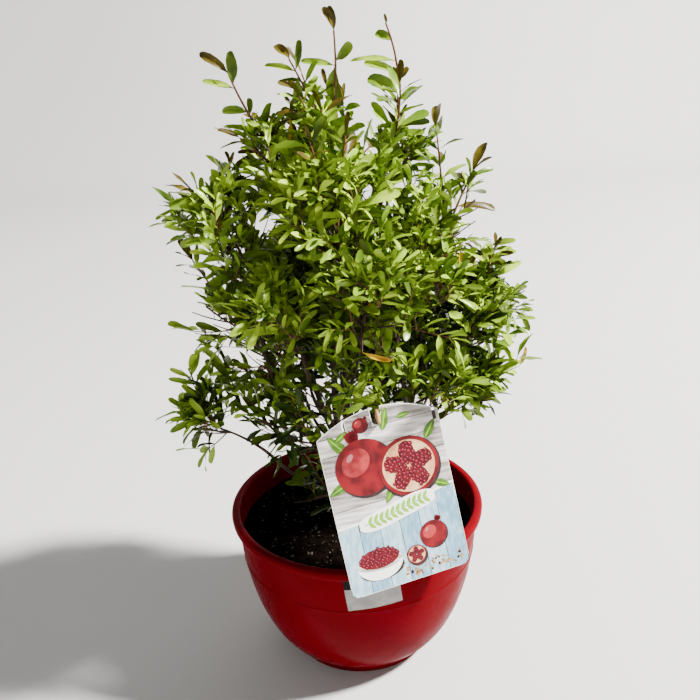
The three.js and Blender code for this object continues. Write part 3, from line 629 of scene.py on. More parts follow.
def bark_relief(seed, depth):
    """Ridges that run along a limb and wander round it."""
    draw = np.random.default_rng(seed).uniform
    waves = [(m, draw(0.02, 0.12), draw(0, 6.3), draw(0.4, 1)) for m in (2, 3, 5, 7, 9)]

    def relief(angles, length):
        ridges = sum(weight * np.sin(m * angles + pace * length + shift) for m, pace, shift, weight in waves)
        rings = 0.5 * math.sin(0.35 * length + waves[0][2]) ** 6
        return 1 + depth * (ridges / 3 + rings)

    return relief


def bark_tube(pile, limb, steps, sides, seed, depth):
    radii = [limb.radius_at(s) for s in np.linspace(0, 1, steps)]
    faces = ring_faces(steps, sides) + [list(range((steps - 1) * sides, steps * sides))]
    pile.add(tube(limb.run(steps), radii, sides, bark_relief(seed, depth)), faces)


def build_limbs():
    stem, boughs, stub = Pile(), Pile(), Pile()
    bark_tube(stem, limbs[MAIN_STEM], 40, 36, 3, 0.08)
    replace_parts(stem.piece("main_stem_bark", [OLD_BARK], "bark"), MAIN_STEM)

    for number, row in enumerate(BOUGHS):
        bark_tube(boughs, limbs[row[0]], 44, 14, 10 + number, 0.12)
    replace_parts(boughs.piece("boughs_bark", [OLD_BARK], "bark"), *[f"bough_{row[0]}" for row in BOUGHS])

    # The stub's cut end is a tall heel that fills the card's notch.
    steps, sides = 40, 16
    bark_tube(stub, limbs[CUT_STUB], steps, sides, 71, 0.1)
    stub.marks[-1] = 1
    points = stub.points[0]
    for ring in range(STUB_HEEL_RINGS):
        rows = slice((steps - 1 - ring) * sides, (steps - ring) * sides)
        rise = (points[rows] - limbs[CUT_STUB].tip) @ card_up + STUB_THICK
        points[rows] += np.outer(rise * STUB_HEEL / (1 + ring), card_up)
    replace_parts(stub.piece("cut_stub_bark", [OLD_BARK, CUT_WOOD], "bark"), CUT_STUB)


# ---- Foliage


def stem_of(row):
    bough = limbs[row[0]]
    heading = bough.heading(1)
    foot = bough.at(1) + CLEARANCE * heading
    tip = place(row[5])
    return Bend(foot, foot + 0.5 * np.linalg.norm(tip - foot) * heading, tip)


stems = [stem_of(row) for row in BOUGHS]
sites = np.array([stem.at(SITE_SHARE) for stem in stems])
leaf_rows = {kind: [] for kind in LEAVES}
twigs = Pile()
shoots = Pile()


def inside_cell(points, own, wide):
    """True where all points lie in a mass's cell, or not far over its side."""
    near = np.linalg.norm(points - sites[own], axis=1)
    if (near > wide).any():
        return False
    others = np.delete(sites, own, axis=0)
    spread = np.linalg.norm(others - sites[own], axis=1)
    away = ((points[:, None, :] - others[None]) ** 2).sum(2)
    return bool((near[:, None] ** 2 < away + 2 * CELL_OVERLAP * spread).all())


def clear_of_things(points, half):
    """True where all points are clear of the card, the pot and the soil."""
    local = (points - CARD_CENTRE) @ card_axes.T
    beside = np.abs(local[:, 0]) > CARD_WIDTH / 2 + half
    above = np.abs(local[:, 1]) > CARD_SIDE / 2 + CARD_ARCH + half
    behind = local[:, 2] < -half - 1
    inside = np.hypot(points[:, 0], points[:, 1]) < INNER_RADIUS - half
    in_pot = inside & (points[:, 2] > SOIL_TOP_HEIGHT + half)
    over_rim = points[:, 2] > RIM_HEIGHT + half
    return bool(((beside | above | behind) & (in_pot | over_rim)).all())


def clear_of_limbs(a, b, half):
    return bool((segment_gaps(a, b, piece_starts, piece_ends) > piece_radii + half + LIMB_MARGIN).all())


def fits(a, b, half, own, wide):
    points = np.array([a, (a + b) / 2, b])
    return inside_cell(points, own, wide) and clear_of_things(points, half) and clear_of_limbs(a, b, half / 3)


def seen_at(point):
    """Where a point stands in the plane y = 0, as the camera sees it."""
    away = point - np.array(CAMERA_PLACE)
    x, _, z = away / away[1] * -CAMERA_PLACE[1] + CAMERA_PLACE
    return x, z


def in_opening(point):
    """True where a point would stand in one of the photo's gaps in the crown."""
    x, z = seen_at(point)
    return bool((np.hypot(OPENINGS[:, 0] - x, OPENINGS[:, 1] - z) < OPENINGS[:, 2]).any())


def leaf_meshes(rows):
    """Points and faces of many leaves: a petiole, a folded blade widest past its middle, and a blunt tip."""
    data = np.array(rows)
    root, along = data[:, None, 0:3], data[:, None, 3:6]
    length, width, roll, arch, fold, twist, sway = data[:, 6:13].T[..., None]
    along = along / np.linalg.norm(along, axis=2, keepdims=True)
    across = np.cross(along, SKY)
    across /= np.maximum(np.linalg.norm(across, axis=2, keepdims=True), 1e-6)
    normal = np.cross(across, along)
    # The blade's own axes turn about the midrib from its root to its tip.
    angle = (roll + twist * LEAF_STATIONS)[..., None]
    cos, sin = np.cos(angle), np.sin(angle)
    across, normal = across * cos + normal * sin, normal * cos - across * sin
    bent = (LEAF_STATIONS**2 * length)[..., None]
    spine = root + along * (LEAF_STATIONS * length)[..., None]
    spine = spine - normal[:, :1] * (arch[..., None] * bent)
    spine = spine + across[:, :1] * (sway[..., None] * bent)
    columns = np.array([-1.0, 0.0, 1.0])
    half = (LEAF_HALF_WIDTHS * width / 2)[..., None]
    wave = LEAF_WAVE * np.sin(7 * LEAF_STATIONS + 9 * roll)
    rises = half * (fold[..., None] * np.abs(columns) + wave[..., None] * columns)
    sideways = across[:, :, None] * (half * columns)[..., None]
    points = spine[:, :, None] + sideways + normal[:, :, None] * rises[..., None]
    stations = len(LEAF_STATIONS)
    corners = [3 * s + c for s in range(stations - 1) for c in range(2)]
    quads = np.array([[i, i + 1, i + 4, i + 3] for i in corners])
    steps = np.arange(len(data))[:, None, None] * stations * 3
    return points.reshape(-1, 3), (quads + steps).reshape(-1, 4).tolist()


def clamp(value):
    return min(1.0, max(0.0, value))


def pick_kind(draw, root, outward):
    """The kind of a spray, with light and shade painted into its green: lighter where it stands out in the
    light, more shaded inside and below.
    """
    if root[2] > YOUNG_FROM and draw() < YOUNG_SHARE:
        return "young"
    if root[2] < SHADED_BELOW:
        return "deep" if draw() < SHADED_DEEP_SHARE else "shade"
    # Painted light grows with exposure, towards the right where the lamp stands, and at the listed spots.
    exposed = 0.5 * clamp(outward) + 0.5 * clamp((root[2] - LIT_FROM) / LIT_OVER)
    low = clamp((LOW_FROM - root[2]) / LOW_OVER)
    x, z = seen_at(root)
    near = 1 - ((PAINTED_LIGHT_AND_SHADE_SPOTS[:, 0] - x) ** 2 + (PAINTED_LIGHT_AND_SHADE_SPOTS[:, 1] - z) ** 2) / PAINTED_LIGHT_AND_SHADE_SPOTS[:, 2] ** 2
    lift = float(PAINTED_LIGHT_AND_SHADE_SPOTS[:, 3] @ np.maximum(near, 0))
    if root[0] > LOW_FRONT_FROM and root[1] < 0:
        lift = lift + LOW_FRONT_LIFT * low
    contrast = 1 + LOW_CONTRAST * low
    share = 0.5 + contrast * (draw() - 0.5) + EXPOSED_LIFT * (exposed - 0.5) + RIGHT_LIFT * root[0] + lift
    return next((kind for kind, least in zip(GREENS, KIND_STEPS) if share > least), "shade")


def one_leaf(draw, kind, root, along, size):
    """A leaf as its kind and its row of numbers."""
    if draw() < GOLD_SHARE:
        kind = "gold"
    length = size * in_range(LEAF_LENGTH_RANGE, draw())
    width = length * in_range(LEAF_SLENDER_RANGE, draw())
    form = [least + spread * (draw() - middle) for least, spread, middle in LEAF_FORM]
    return kind, root, along, length, width, *form


def add_leaf(kind, root, along, *shape):
    leaf_rows[kind].append((*root, *along, *shape))


def has_place(leaf):
    """True where a leaf is clear of the card, the pot and the soil, and leaves the photo's gaps open."""
    _, root, along, length, *_ = leaf
    blade = length * unit(along)
    if not clear_of_things(root + np.outer((0.2, 0.6, 1.0), blade), 1.5):
        return False
    return not any(in_opening(root + share * blade) for share in (0.0, 0.5, 1.0))


def spray(draw, root, heading, reach, kind):
    """A short shoot with opposite pairs of leaves close along it, smaller towards its tip. It ends at the
    last leaf that has its place, and it is left out where too many of its leaves have none."""
    length = reach - 0.6 * LEAF_LENGTH_RANGE[0]
    tip = root + length * heading
    aside = unit(np.cross(heading, [0.3, 0.5, 0.8]))
    curve = Bend(root, root + 0.5 * length * heading + 0.12 * length * (draw() - 0.5) * aside, tip)
    turn = draw() * math.pi
    pairs = max(1, round(length / PAIR_SPACING))
    grown = []
    for i in range(pairs):
        share = (i + 0.7) / pairs
        size = (1.0 - 0.3 * share) * in_range(LEAF_SIZE_RANGE, draw())
        for side in (0, math.pi):
            if draw() < LEAF_MISSING:
                continue
            tilt = PAIR_TILT - 0.4 * share + LEAF_SWING * (draw() - 0.5)
            twist = turn + side + i * SPRAY_TURN + LEAF_SWING * (draw() - 0.5)
            along = branch_off(curve.heading(share), tilt, twist)
            # Some leaves get painted shade one step deeper than their spray.
            more_shaded = 1 if draw() < LEAF_MORE_SHADED else 0
            leaf_kind = kind if kind == "young" else GREENS[min(GREENS.index(kind) + more_shaded, 3)]
            grown.append((share, one_leaf(draw, leaf_kind, curve.at(share), along, size)))
    for side in (0, math.pi):
        along = branch_off(heading, 0.25 + 0.3 * draw(), turn + side + pairs * 1.35)
        grown.append((1.0, one_leaf(draw, kind, tip, along, 0.55)))
    kept = [(share, leaf) for share, leaf in grown if has_place(leaf)]
    if len(kept) < KEPT_LEAVES * len(grown):
        return False
    end = max(share for share, _ in kept)
    thin_tube(shoots, [curve.at(s * end) for s in (0, 0.5, 1)], SHOOT_RADII, 4)
    for _, leaf in kept:
        add_leaf(*leaf)
    return True


def spray_axis(draw, axis, tilt, turn, reach_range):
    """A spray's heading, which turns up from the way it branches off, and its reach."""
    heading = unit(branch_off(axis, tilt, turn) + in_range(SPRAY_RISE, draw()) * UP)
    return heading, SPRAY_REACH * in_range(reach_range, draw())


def dress_twig(draw, own, row, start, end, shares, turn):
    """Sprays where the part has leaves: three round the twig's tip, and opposite pairs along it."""
    axis = unit(end - start)
    grown = 0
    spots = [(end, TIP_LEAF_TILT, i * 2 * math.pi / TIP_LEAVES) for i in range(TIP_LEAVES)]
    for i, share in enumerate(shares):
        root = start + (end - start) * share
        spots += [(root, PAIR_TILT, side + i * math.pi / 2) for side in (0, math.pi)]
    for root, tilt, twist in spots:
        tilt = tilt + LEAF_TILT_SPREAD * draw()
        heading, reach = spray_axis(draw, axis, tilt, turn + twist, SPRAY_REACH_RANGE)
        outward = (unit(root - [0, 0, 260]) @ heading + 1) / 2
        kind = pick_kind(draw, root, outward)
        if draw() > FULLNESS.get(row[0], 1.0):
            continue
        for cut in SPRAY_CUTS:
            tip = root + cut * reach * heading
            if not fits(root + 4 * heading, tip, SPRAY_HALF, own, row[6]):
                continue
            if spray(draw, root, heading, cut * reach, kind):
                grown += 1
                break
    return grown


def grow_round(number, own, row, stem):
    """One set of twigs round a stem. The first set is the part's own."""
    draw = random_from(101 + 17 * own + 4001 * number)
    start = draw() * 2 * math.pi
    grown = [] if number else [(stem.at(STEM_LEAFY_FROM), stem.at(1), start, TWIGS)]
    for i in range(TWIGS):
        share = in_range(TWIG_SHARES, i / (TWIGS - 1))
        turn = start + i * GOLDEN_ANGLE + TWIG_TURN_SPREAD * (draw() - 0.5)
        tilt = TWIG_TILT - TWIG_TILT_LESS * share + TWIG_TILT_SPREAD * (draw() - 0.5)
        reach = TWIG_REACH * (1 - TWIG_SHORTER * share) * in_range(TWIG_REACH_RANGE, draw())
        root = stem.at(share)
        rise = ROUND_RISE if number else TWIG_RISE
        heading = unit(branch_off(stem.heading(share), tilt, turn) + rise * UP)
        clear = root + TWIG_CLEAR * heading
        tips = [root + cut * reach * heading for cut in TWIG_CUTS]
        tip = next((t for t in tips if fits(clear, t, TWIG_RADII[0], own, row[6])), None)
        if tip is not None and share > BARE_STEMS.get(row[0], 0.0):
            grown.append((root, tip, turn, i))
    for root, tip, turn, key in grown:
        length = np.linalg.norm(tip - root)
        shares = (0.4, 0.72) if length > TWIG_REACH / 2 else (0.5,)
        sprays = dress_twig(random_from(1000 * own + key + 50021 * number), own, row, root, tip, shares, turn)
        if sprays and key < TWIGS:
            curve = Bend(root, (root + tip) / 2 - 0.06 * length * UP, tip)
            thin_tube(twigs, [curve.at(s) for s in (0, 0.33, 0.67, 1)], TWIG_RADII, 5)


def grow_along_bough(own, row):
    """Sprays on the upper part of a bough, to fill the crown between its masses."""
    draw = random_from(7000 + own)
    curve = limbs[row[0]]
    length = np.linalg.norm(curve.tip - curve.foot)
    share = LEAFY_FROM.get(row[0], 0.35 if row[0].startswith(("top", "upper")) else 0.5)
    turn = draw() * 6.3
    while share < 0.98:
        root = curve.at(share)
        tilt = in_range(BOUGH_SPRAY_TILT, draw())
        heading, reach = spray_axis(draw, curve.heading(share), tilt, turn, BOUGH_SPRAY_RANGE)
        tip = root + reach * heading
        kind = pick_kind(draw, root, 0.3)
        skip = draw() > FULLNESS.get(row[0], 1.0)
        clear = clear_of_things(np.array([tip]), SPRAY_HALF) and clear_of_limbs(root + 8 * heading, tip, 1)
        if clear and not skip:
            spray(draw, root, heading, reach, kind)
        share += BOUGH_SPRAY_SPACING / length
        turn += GOLDEN_ANGLE


def shoot_curve(pile, foot, tip, bow, count, radii, sides):
    """A shoot whose knee stands off the straight line by `bow`, with its bark."""
    curve = Bend(foot, (foot + tip) / 2 + bow, tip)
    thin_tube(pile, curve.run(count), radii, sides)
    return curve


def pairs_along(draw, curve, pairs, first, span, tilt):
    """The share, root and direction of each leaf of the opposite pairs along a shoot."""
    for i in range(pairs):
        share = first + span * i / max(1, pairs - 1)
        for side in (0, math.pi):
            along = branch_off(curve.heading(share), tilt + 0.45 * draw(), 1.3 * i + side + draw())
            yield share, curve.at(share), along


def grow_leader(draw, foot, tip, pairs, bow=0, bud=0.55, spread=0.12):
    """A thin upright shoot with pairs of leaves, and a reddish pair at its tip."""
    off = np.array([2 * bow, 0.0, 0.06 * np.linalg.norm(tip - foot)])
    curve = shoot_curve(shoots, foot, tip, off, 7, (1.2, 0.7), 6)
    for share, root, along in pairs_along(draw, curve, pairs, 0.3, 0.6, LEADER_TILT):
        # Its leaves are young here and there, and otherwise take painted light or shade at random.
        kind = "young" if draw() < 0.22 * share else ("light", "fresh", "fresh", "deep")[int(4 * draw())]
        add_leaf(*one_leaf(draw, kind, root, along, 1.1 - 0.25 * share))
    for side in (0, math.pi):
        heading = branch_off(curve.heading(1), spread * (0.7 + 0.6 * draw()), side)
        add_leaf(*one_leaf(draw, "young", tip, heading, bud))


def grow_top_shoot(draw, foot, tip, bow, rows):
    """An upright shoot with its own leaves, which face the front, or a thin twig with one leaf."""
    bark, thick = (shoots, 1.3) if len(rows) > 1 else (twigs, 0.6)
    curve = shoot_curve(bark, foot, tip, np.array([2 * bow, 0.0, 0.0]), 9, (thick, 0.6 * thick), 6)
    heights = [spot[2] for spot in curve.run(50)]
    for height, x, z, width, kind in rows:
        root = curve.at(float(np.interp(height, heights, np.linspace(0, 1, 50))))
        along = np.array([x, root[1] + 8 * (draw() - 0.5), z]) - root
        length = np.linalg.norm(along)
        across = unit(np.cross(along, SKY))
        wanted = unit(np.cross(along, [0.0, -1.0, 0.4]))
        roll = math.atan2(wanted @ np.cross(across, along / length), wanted @ across)
        bends = 0.15, 0.6, 1.1 * draw(), 0.2 * (draw() - 0.5)
        add_leaf(kind, root, along, 1.04 * length, 0.85 * width, roll - 0.5, *bends)


def grow_side_shoot(draw, foot, tip, pairs):
    """A shoot that is leafy to its tip."""
    sag = -0.1 * np.linalg.norm(tip - foot) * UP
    curve = shoot_curve(shoots, foot, tip, sag, 5, (0.8, 0.4), 5)
    kind = pick_kind(draw, tip, 0.8)
    for _, root, along in pairs_along(draw, curve, pairs, 0.35, 0.65, SIDE_TILT):
        leaf_kind = pick_kind(draw, root, 0.6) if draw() < 0.3 else kind
        leaf = one_leaf(draw, leaf_kind, root, along, 0.9)
        if has_place(leaf):
            add_leaf(*leaf)


def grow_foliage():
    stem_radii = (STEM_TIP_RADIUS + STEM_TAPER_INSIDE, 0.6 * STEM_TIP_RADIUS)
    fitted = (
        (grow_top_shoot, TOP_SHOOTS, 600), (grow_leader, LEADERS, 900), (grow_side_shoot, SIDE_SHOOTS, 1900),
    )
    for own, (row, stem) in enumerate(zip(BOUGHS, stems)):
        thin_tube(twigs, stem.run(9), stem_radii, 8)
        for grow, table, seed in fitted:
            for number, (name, share, tip, *shape) in enumerate(table):
                if name == row[0]:
                    grow(random_from(seed + number), stem.at(share), np.array(tip, float), *shape)
        for number in range(ROUNDS):
            grow_round(number, own, row, stem)
        grow_along_bough(own, row)
    masses = [f"foliage_{row[0]}" for row in BOUGHS]
    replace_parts(twigs.piece("twigs_bark", [TWIG_BARK], "bark"), *masses)
    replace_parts(shoots.piece("young_shoots", [SHOOT_BARK], "bark"), *masses)
    for kind, rows in leaf_rows.items():
        for part in range(0, len(rows), LEAVES_A_PIECE):
            points, faces = leaf_meshes(rows[part : part + LEAVES_A_PIECE])
            name = f"leaves_{kind}_{part // LEAVES_A_PIECE + 1}"
            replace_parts(make_piece(name, points, faces, [LEAVES[kind]]), *masses)


# ---- The pot

RING_LINE_STEP = ((0.0, -0.6), (0.45, 0.0), (0.1, 0.7))  # out and up from the wall
# The lip's outside from the rim's edge, and its inside from the wall's inner face.
LIP_OUTSIDE = (
    (-1.6, -8.0), (-0.7, -7.5), (-0.3, -6.4), (0.0, -3.4), (-0.35, -1.7), (-1.3, -0.6), (-2.8, 0.0),
)
LIP_INSIDE = ((2.2, 0.0), (0.9, -0.5), (0.0, -2.0))


def wall_radius(height):
    share = clamp((height - FOOT_HEIGHT) / WALL_RISE)
    return BOWL_FOOT_RADIUS + (WALL_TOP_RADIUS - BOWL_FOOT_RADIUS) * (1 - (1 - share) ** 1.9) ** (1 / 1.8)


def inside_radius(height):
    return wall_radius(height - FLOOR_THICKNESS) - WALL_THICKNESS


def build_pot():
    foot = [(0.0, 0.0), (FOOT_RADIUS - 1.0, 0.0), (FOOT_RADIUS, 0.8)]
    foot += [(FOOT_RADIUS, FOOT_HEIGHT - 2.2), (FOOT_RADIUS - 1.0, FOOT_HEIGHT - 1.0)]
    heights = [*(FOOT_HEIGHT + WALL_RISE * np.linspace(0, 1, 40) ** 1.5), *[RING_LINE_HEIGHT] * 3]
    wall = [[wall_radius(z), z] for z in sorted(heights)]
    line = [ring for ring in wall if ring[1] == RING_LINE_HEIGHT]
    for ring, (out, rise) in zip(line, RING_LINE_STEP):
        ring[0] += out
        ring[1] += rise
    edge, floor = WALL_TOP_RADIUS - WALL_THICKNESS, FOOT_HEIGHT + FLOOR_THICKNESS
    lip = [(WALL_TOP_RADIUS + 0.6, RIM_HEIGHT - LIP_HEIGHT - 0.1)]
    lip += [(RIM_RADIUS + out, RIM_HEIGHT + rise) for out, rise in LIP_OUTSIDE]
    lip += [(edge + out, RIM_HEIGHT + rise) for out, rise in LIP_INSIDE]
    levels = np.linspace(RIM_HEIGHT - LIP_HEIGHT, FOOT_HEIGHT + 1, 24)
    inner = [(wall_radius(z) - WALL_THICKNESS, z + FLOOR_THICKNESS) for z in levels]
    inner = [(r, z) for r, z in inner if z < RIM_HEIGHT - 2.5] + [(50.0, floor), (0.0, floor)]
    points, faces = turned(foot + wall[1:] + lip + inner, 160)
    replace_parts(make_piece("bowl_pot", points, faces, [RED_PLASTIC]), "pot")


# ---- The soil

SOIL_WAVES = ((38, 0.9), (19, 0.7), (9, 0.5), (4.5, 0.35))  # length and depth of its rises and hollows
SOIL_SIDES, SOIL_RINGS = 144, 56
SOIL_SUNK = ((100.0, None), (60.0, None), (20.0, None), (12.0, 40.0))  # the bed's rings below the surface
CRUMBS = 2600
CRUMB_SHARES = (0.77, 0.19, 0.012, 0.028)  # soil, bark, pale specks and grey specks
CRUMB_SIZES = (0.5, 1.9)
# A dry twig that lies on the soil and forks, as [x, y, height over the soil].
DRY_TWIG = [
    [(-41, 41, 0.9), (-30, 39, 2.2), (-15.5, 36, 2.6), (-5, 35, 1.0)],
    [(-15.5, 36, 2.6), (-19, 27, 2.4), (-24, 16, 1.6), (-29, 6, 0.8)],
]


def soil_height(x, y):
    """Height of the soil with its small rises and hollows."""
    edge = inside_radius(SOIL_EDGE_HEIGHT)
    reaches = [0, SOIL_FLAT_RADIUS, 0.45 * edge, edge]
    heights = [SOIL_TOP_HEIGHT, SOIL_TOP_HEIGHT, SOIL_TOP_HEIGHT - 2, SOIL_EDGE_HEIGHT]
    draw = np.random.default_rng(5)
    relief = 0.0
    for size, depth in SOIL_WAVES:
        for _ in range(4):
            angle, shift = draw.uniform(0, 2 * math.pi, 2)
            run = x * math.cos(angle) + y * math.sin(angle)
            relief = relief + depth / 4 * np.sin(run * 6.28 / size + shift)
    return np.interp(np.hypot(x, y), reaches, heights) + relief


def speck_material(name, colour):
    return surface(name, tuple(0.6 * c for c in colour), colour, 0.8, (900.0, 2.0), (0.35, 0.65))


def clod_shape():
    """An irregular lump of twenty faces."""
    golden = (1 + math.sqrt(5)) / 2
    signs = [(s, t * golden) for s in (-1, 1) for t in (-1, 1)]
    points = [(0, s, t) for s, t in signs] + [(s, t, 0) for s, t in signs] + [(t, 0, s) for s, t in signs]
    points = np.array(points, float) / 1.9
    faces = []
    for a, b, c in combinations(range(12), 3):
        if max(np.linalg.norm(points[p] - points[q]) for p, q in ((a, b), (b, c), (a, c))) < 2.1 / 1.9:
            out = np.cross(points[b] - points[a], points[c] - points[a]) @ points[a]
            faces.append([a, b, c] if out > 0 else [a, c, b])
    return points, faces


def build_soil():
    edge = inside_radius(SOIL_EDGE_HEIGHT) - 0.2
    angles = circle_angles(SOIL_SIDES)
    spokes = np.stack([np.cos(angles), np.sin(angles)])
    points = []
    for ring in range(SOIL_RINGS):
        x, y = edge * ring / (SOIL_RINGS - 1) * spokes
        points.append(np.stack([x, y, soil_height(x, y)], 1))
    for height, reach in SOIL_SUNK:
        x, y = (reach or inside_radius(height) - 1.0) * spokes
        points.append(np.stack([x, y, np.full(SOIL_SIDES, height)], 1))
    faces = ring_faces(SOIL_RINGS + len(SOIL_SUNK), SOIL_SIDES)
    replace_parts(make_piece("soil_bed", np.concatenate(points), faces, [SHADED_DARK_SOIL]), "soil")

    draw = np.random.default_rng(11)
    clods = Pile()
    materials = [
        SHADED_DARK_SOIL,
        bark_material("soil_bark", (0.006, 0.0035, 0.002), (0.026, 0.016, 0.01), 200.0),
        speck_material("soil_speck", (0.34, 0.32, 0.28)),
        speck_material("soil_grey", (0.1, 0.095, 0.085)),
    ]
    shape, faces = clod_shape()
    for _ in range(CRUMBS):
        reach, angle = (edge - 3) * math.sqrt(draw.uniform(0.01, 1)), draw.uniform(0, 2 * math.pi)
        mark = draw.choice(4, p=CRUMB_SHARES)
        size = draw.uniform(*CRUMB_SIZES) * (0.45 if mark > 1 else 1.0)
        stretch = draw.uniform(0.5, 1.3, 3) * (size, size, 0.7 * size)
        spin, tip_over = draw.uniform(0, 6.3), draw.uniform(-0.6, 0.6)
        turn = Matrix.Rotation(spin, 3, "Z") @ Matrix.Rotation(tip_over, 3, "X")
        jitter = shape * draw.uniform(0.75, 1.2, (len(shape), 1))
        x, y = reach * math.cos(angle), reach * math.sin(angle)
        centre = np.array([x, y, soil_height(x, y) + 0.25 * size])
        clods.add((jitter * stretch) @ np.array(turn).T + centre, faces, int(mark))
    clods.piece("soil_crumbs", materials, "soil", smooth=False)


def build_dry_twig():
    pile = Pile()
    for line in DRY_TWIG:
        thin_tube(pile, [(x, y, soil_height(x, y) + rise) for x, y, rise in line], (0.85, 0.5), 7)
    pile.piece("dry_twig", [DRY_WOOD], "bark")


# ---- The card, with a generic print of fruit, seeds and leaves

LAYER = 0.06  # between two layers of the print
ACROSS, UPRIGHT = (0.5, 0.5, 6.0), (6.0, 6.0, 0.5)  # how the grain of boards is stretched
SEAM = 0.5  # between two boards
CORNER_CUT = 0.35 * CARD_CORNER
DIVIDE, DIVIDE_RISE = -8.0, 13.0  # height of the white band at the card's left edge, and its rise
RIGHT_SLIT, LEFT_SLIT, NOTCH_SIDE = (46.9, 50.1), (-30.2, -26.8), 5.1  # left open by the print
RIGHT_SLIT_FOOT = 59.6


def printed(name, colour, other=None, scale=120.0, stretch=(1.0, 1.0, 1.0), shine=0.25):
    dark = other or tuple(0.72 * c for c in colour)
    return surface(name, dark, colour, 0.45, (scale, 4.0, stretch), (0.36, 0.62), Specular_IOR_Level=shine)


CARD_BOARD = printed("card_board", (0.75, 0.75, 0.73), (0.65, 0.65, 0.63))
PRINT = {kind: printed(f"print_{kind}", *look) for kind, look in {
    "plank": ((0.4, 0.36, 0.345), (0.13, 0.11, 0.1), 60.0, ACROSS),
    "plank_pale": ((0.68, 0.64, 0.63), (0.3, 0.275, 0.26), 50.0, ACROSS),
    "blue": ((0.13, 0.27, 0.38), (0.26, 0.42, 0.52), 60.0, UPRIGHT),
    "blue_pale": ((0.22, 0.38, 0.48), (0.4, 0.54, 0.6), 60.0, UPRIGHT),
    "white": ((0.85, 0.86, 0.84), (0.78, 0.8, 0.78)),
    "skin": ((0.17, 0.002, 0.006), (0.06, 0.0005, 0.003), 90.0),
    "skin_light": ((0.33, 0.03, 0.028), (0.19, 0.006, 0.012), 110.0),
    "pith": ((0.62, 0.42, 0.22), (0.52, 0.22, 0.11), 130.0),
    "seed": ((0.05, 0.0002, 0.004), (0.02, 0.0001, 0.002), 300.0),
    "seed_light": ((0.17, 0.001, 0.014), (0.08, 0.0004, 0.006), 300.0),
    "glint": ((0.5, 0.15, 0.18),),
    "leaf": ((0.08, 0.18, 0.012), (0.03, 0.08, 0.006), 150.0),
    "lime": ((0.2, 0.42, 0.02), (0.14, 0.32, 0.015), 150.0),
    "ochre": ((0.42, 0.22, 0.04), (0.2, 0.09, 0.02), 200.0),
    "shade": ((0.03, 0.015, 0.016), (0.012, 0.006, 0.007), 150.0),
}.items()}
# Leaves behind the fruit, as (root, length, width, turn).
PRINT_LEAVES = (
    ((-30, 50), 24, 9, 2.2), ((2, 62), 20, 8, 1.2), ((-34, 28), 20, 8, 3.5), ((36, 46), 19, 8, 0.9),
    ((36, 9), 15, 7, -0.45), ((4, 18), 20, 8, -2.2), ((16, 70), 13, 5, 0.1), ((-38, 63), 13, 6, 0.5),
)


def card_outline():
    """The card's edge in its own frame, from the lower left corner round by the right."""
    half, foot = CARD_WIDTH / 2, -CARD_SIDE / 2
    edge = []

    def arc(x, y, radius, first, sweep):
        for i in range(9):
            angle = first + sweep * i / 8
            edge.append((x + radius * math.cos(angle), y + radius * math.sin(angle)))

    for side, first in ((-1, math.pi), (1, 1.5 * math.pi)):
        arc(side * (half - CARD_CORNER), foot + CARD_CORNER, CARD_CORNER, first, math.pi / 2)
    cuts = [
        (half - SLIT_INSET_RIGHT, SLIT_WIDTH, SLIT_DEPTH),
        (0.0, NOTCH_WIDTH, NOTCH_DEPTH),
        (-half + SLIT_INSET_LEFT, SLIT_WIDTH, SLIT_DEPTH),
    ]
    x = half
    while x > -half:
        if cuts and x <= cuts[0][0] + cuts[0][1] / 2 + 0.5:
            middle, width, depth = cuts.pop(0)
            edge.append((middle + width / 2, card_top(middle + width / 2)))
            arc(middle, card_top(middle) - depth + width / 2, width / 2, 0, -math.pi)
            edge.append((middle - width / 2, card_top(middle - width / 2)))
            x = middle - width / 2 - 0.5
        else:
            edge.append((x, card_top(x)))
            x -= 2.5
    return edge + [(-half, card_top(half))]


def laid(centre, turn, points):
    """Points of a flat shape, turned and moved to its centre."""
    cos, sin = math.cos(turn), math.sin(turn)
    return [(centre[0] + x * cos - y * sin, centre[1] + x * sin + y * cos) for x, y in points]


def ellipse(centre, radii, turn=0.0, steps=28, span=(0.0, 2 * math.pi)):
    angles = np.linspace(*span, steps, endpoint=span[1] - span[0] < 6.2)
    return laid(centre, turn, zip(radii[0] * np.cos(angles), radii[1] * np.sin(angles)))


def leaf_outline(root, length, width, turn):
    shares, halves = (0, 0.15, 0.35, 0.6, 0.85, 1), (0, 0.6, 1, 0.9, 0.45, 0)
    side = [(share * length, half * width / 2) for share, half in zip(shares, halves)]
    return laid(root, turn, [(x, -y) for x, y in side[1:-1]] + side[::-1])


print_pile = Pile()


def lay(outline, kind, layer):
    """A flat shape on the card's face, on a layer of the print."""
    points = [(x, y, CARD_THICKNESS + LAYER * layer) for x, y in outline]
    print_pile.add(on_card(points), [list(range(len(points)))], list(PRINT).index(kind))


def oval(kind, layer, *shape):
    lay(ellipse(*shape), kind, layer)


def lay_seeds(draw, centre, radii, count, layer, turn=0.0):
    """Seeds side by side in an ellipse, each with a dark edge and a glint."""
    size = 0.62 * math.sqrt(math.pi * radii[0] * radii[1] / count)
    for i in range(count):
        reach, angle = math.sqrt((i + 0.5) / count), i * GOLDEN_ANGLE
        x, y = radii[0] * reach * math.cos(angle), radii[1] * reach * math.sin(angle)
        (spot,) = laid(centre, turn, [(x, y)])
        lean = draw.uniform(0, math.pi)
        grown = size * draw.uniform(0.85, 1.15)
        level = layer + 0.5 * (i % 7)
        oval("seed", level, spot, (grown, 0.82 * grown), lean, 10)
        oval("seed_light", level + 0.15, spot, (0.74 * grown, 0.6 * grown), lean, 9)
        glint = (spot[0] - 0.25 * grown, spot[1] + 0.3 * grown)
        oval("glint", level + 0.3, glint, (0.24 * grown, 0.16 * grown), lean, 6)


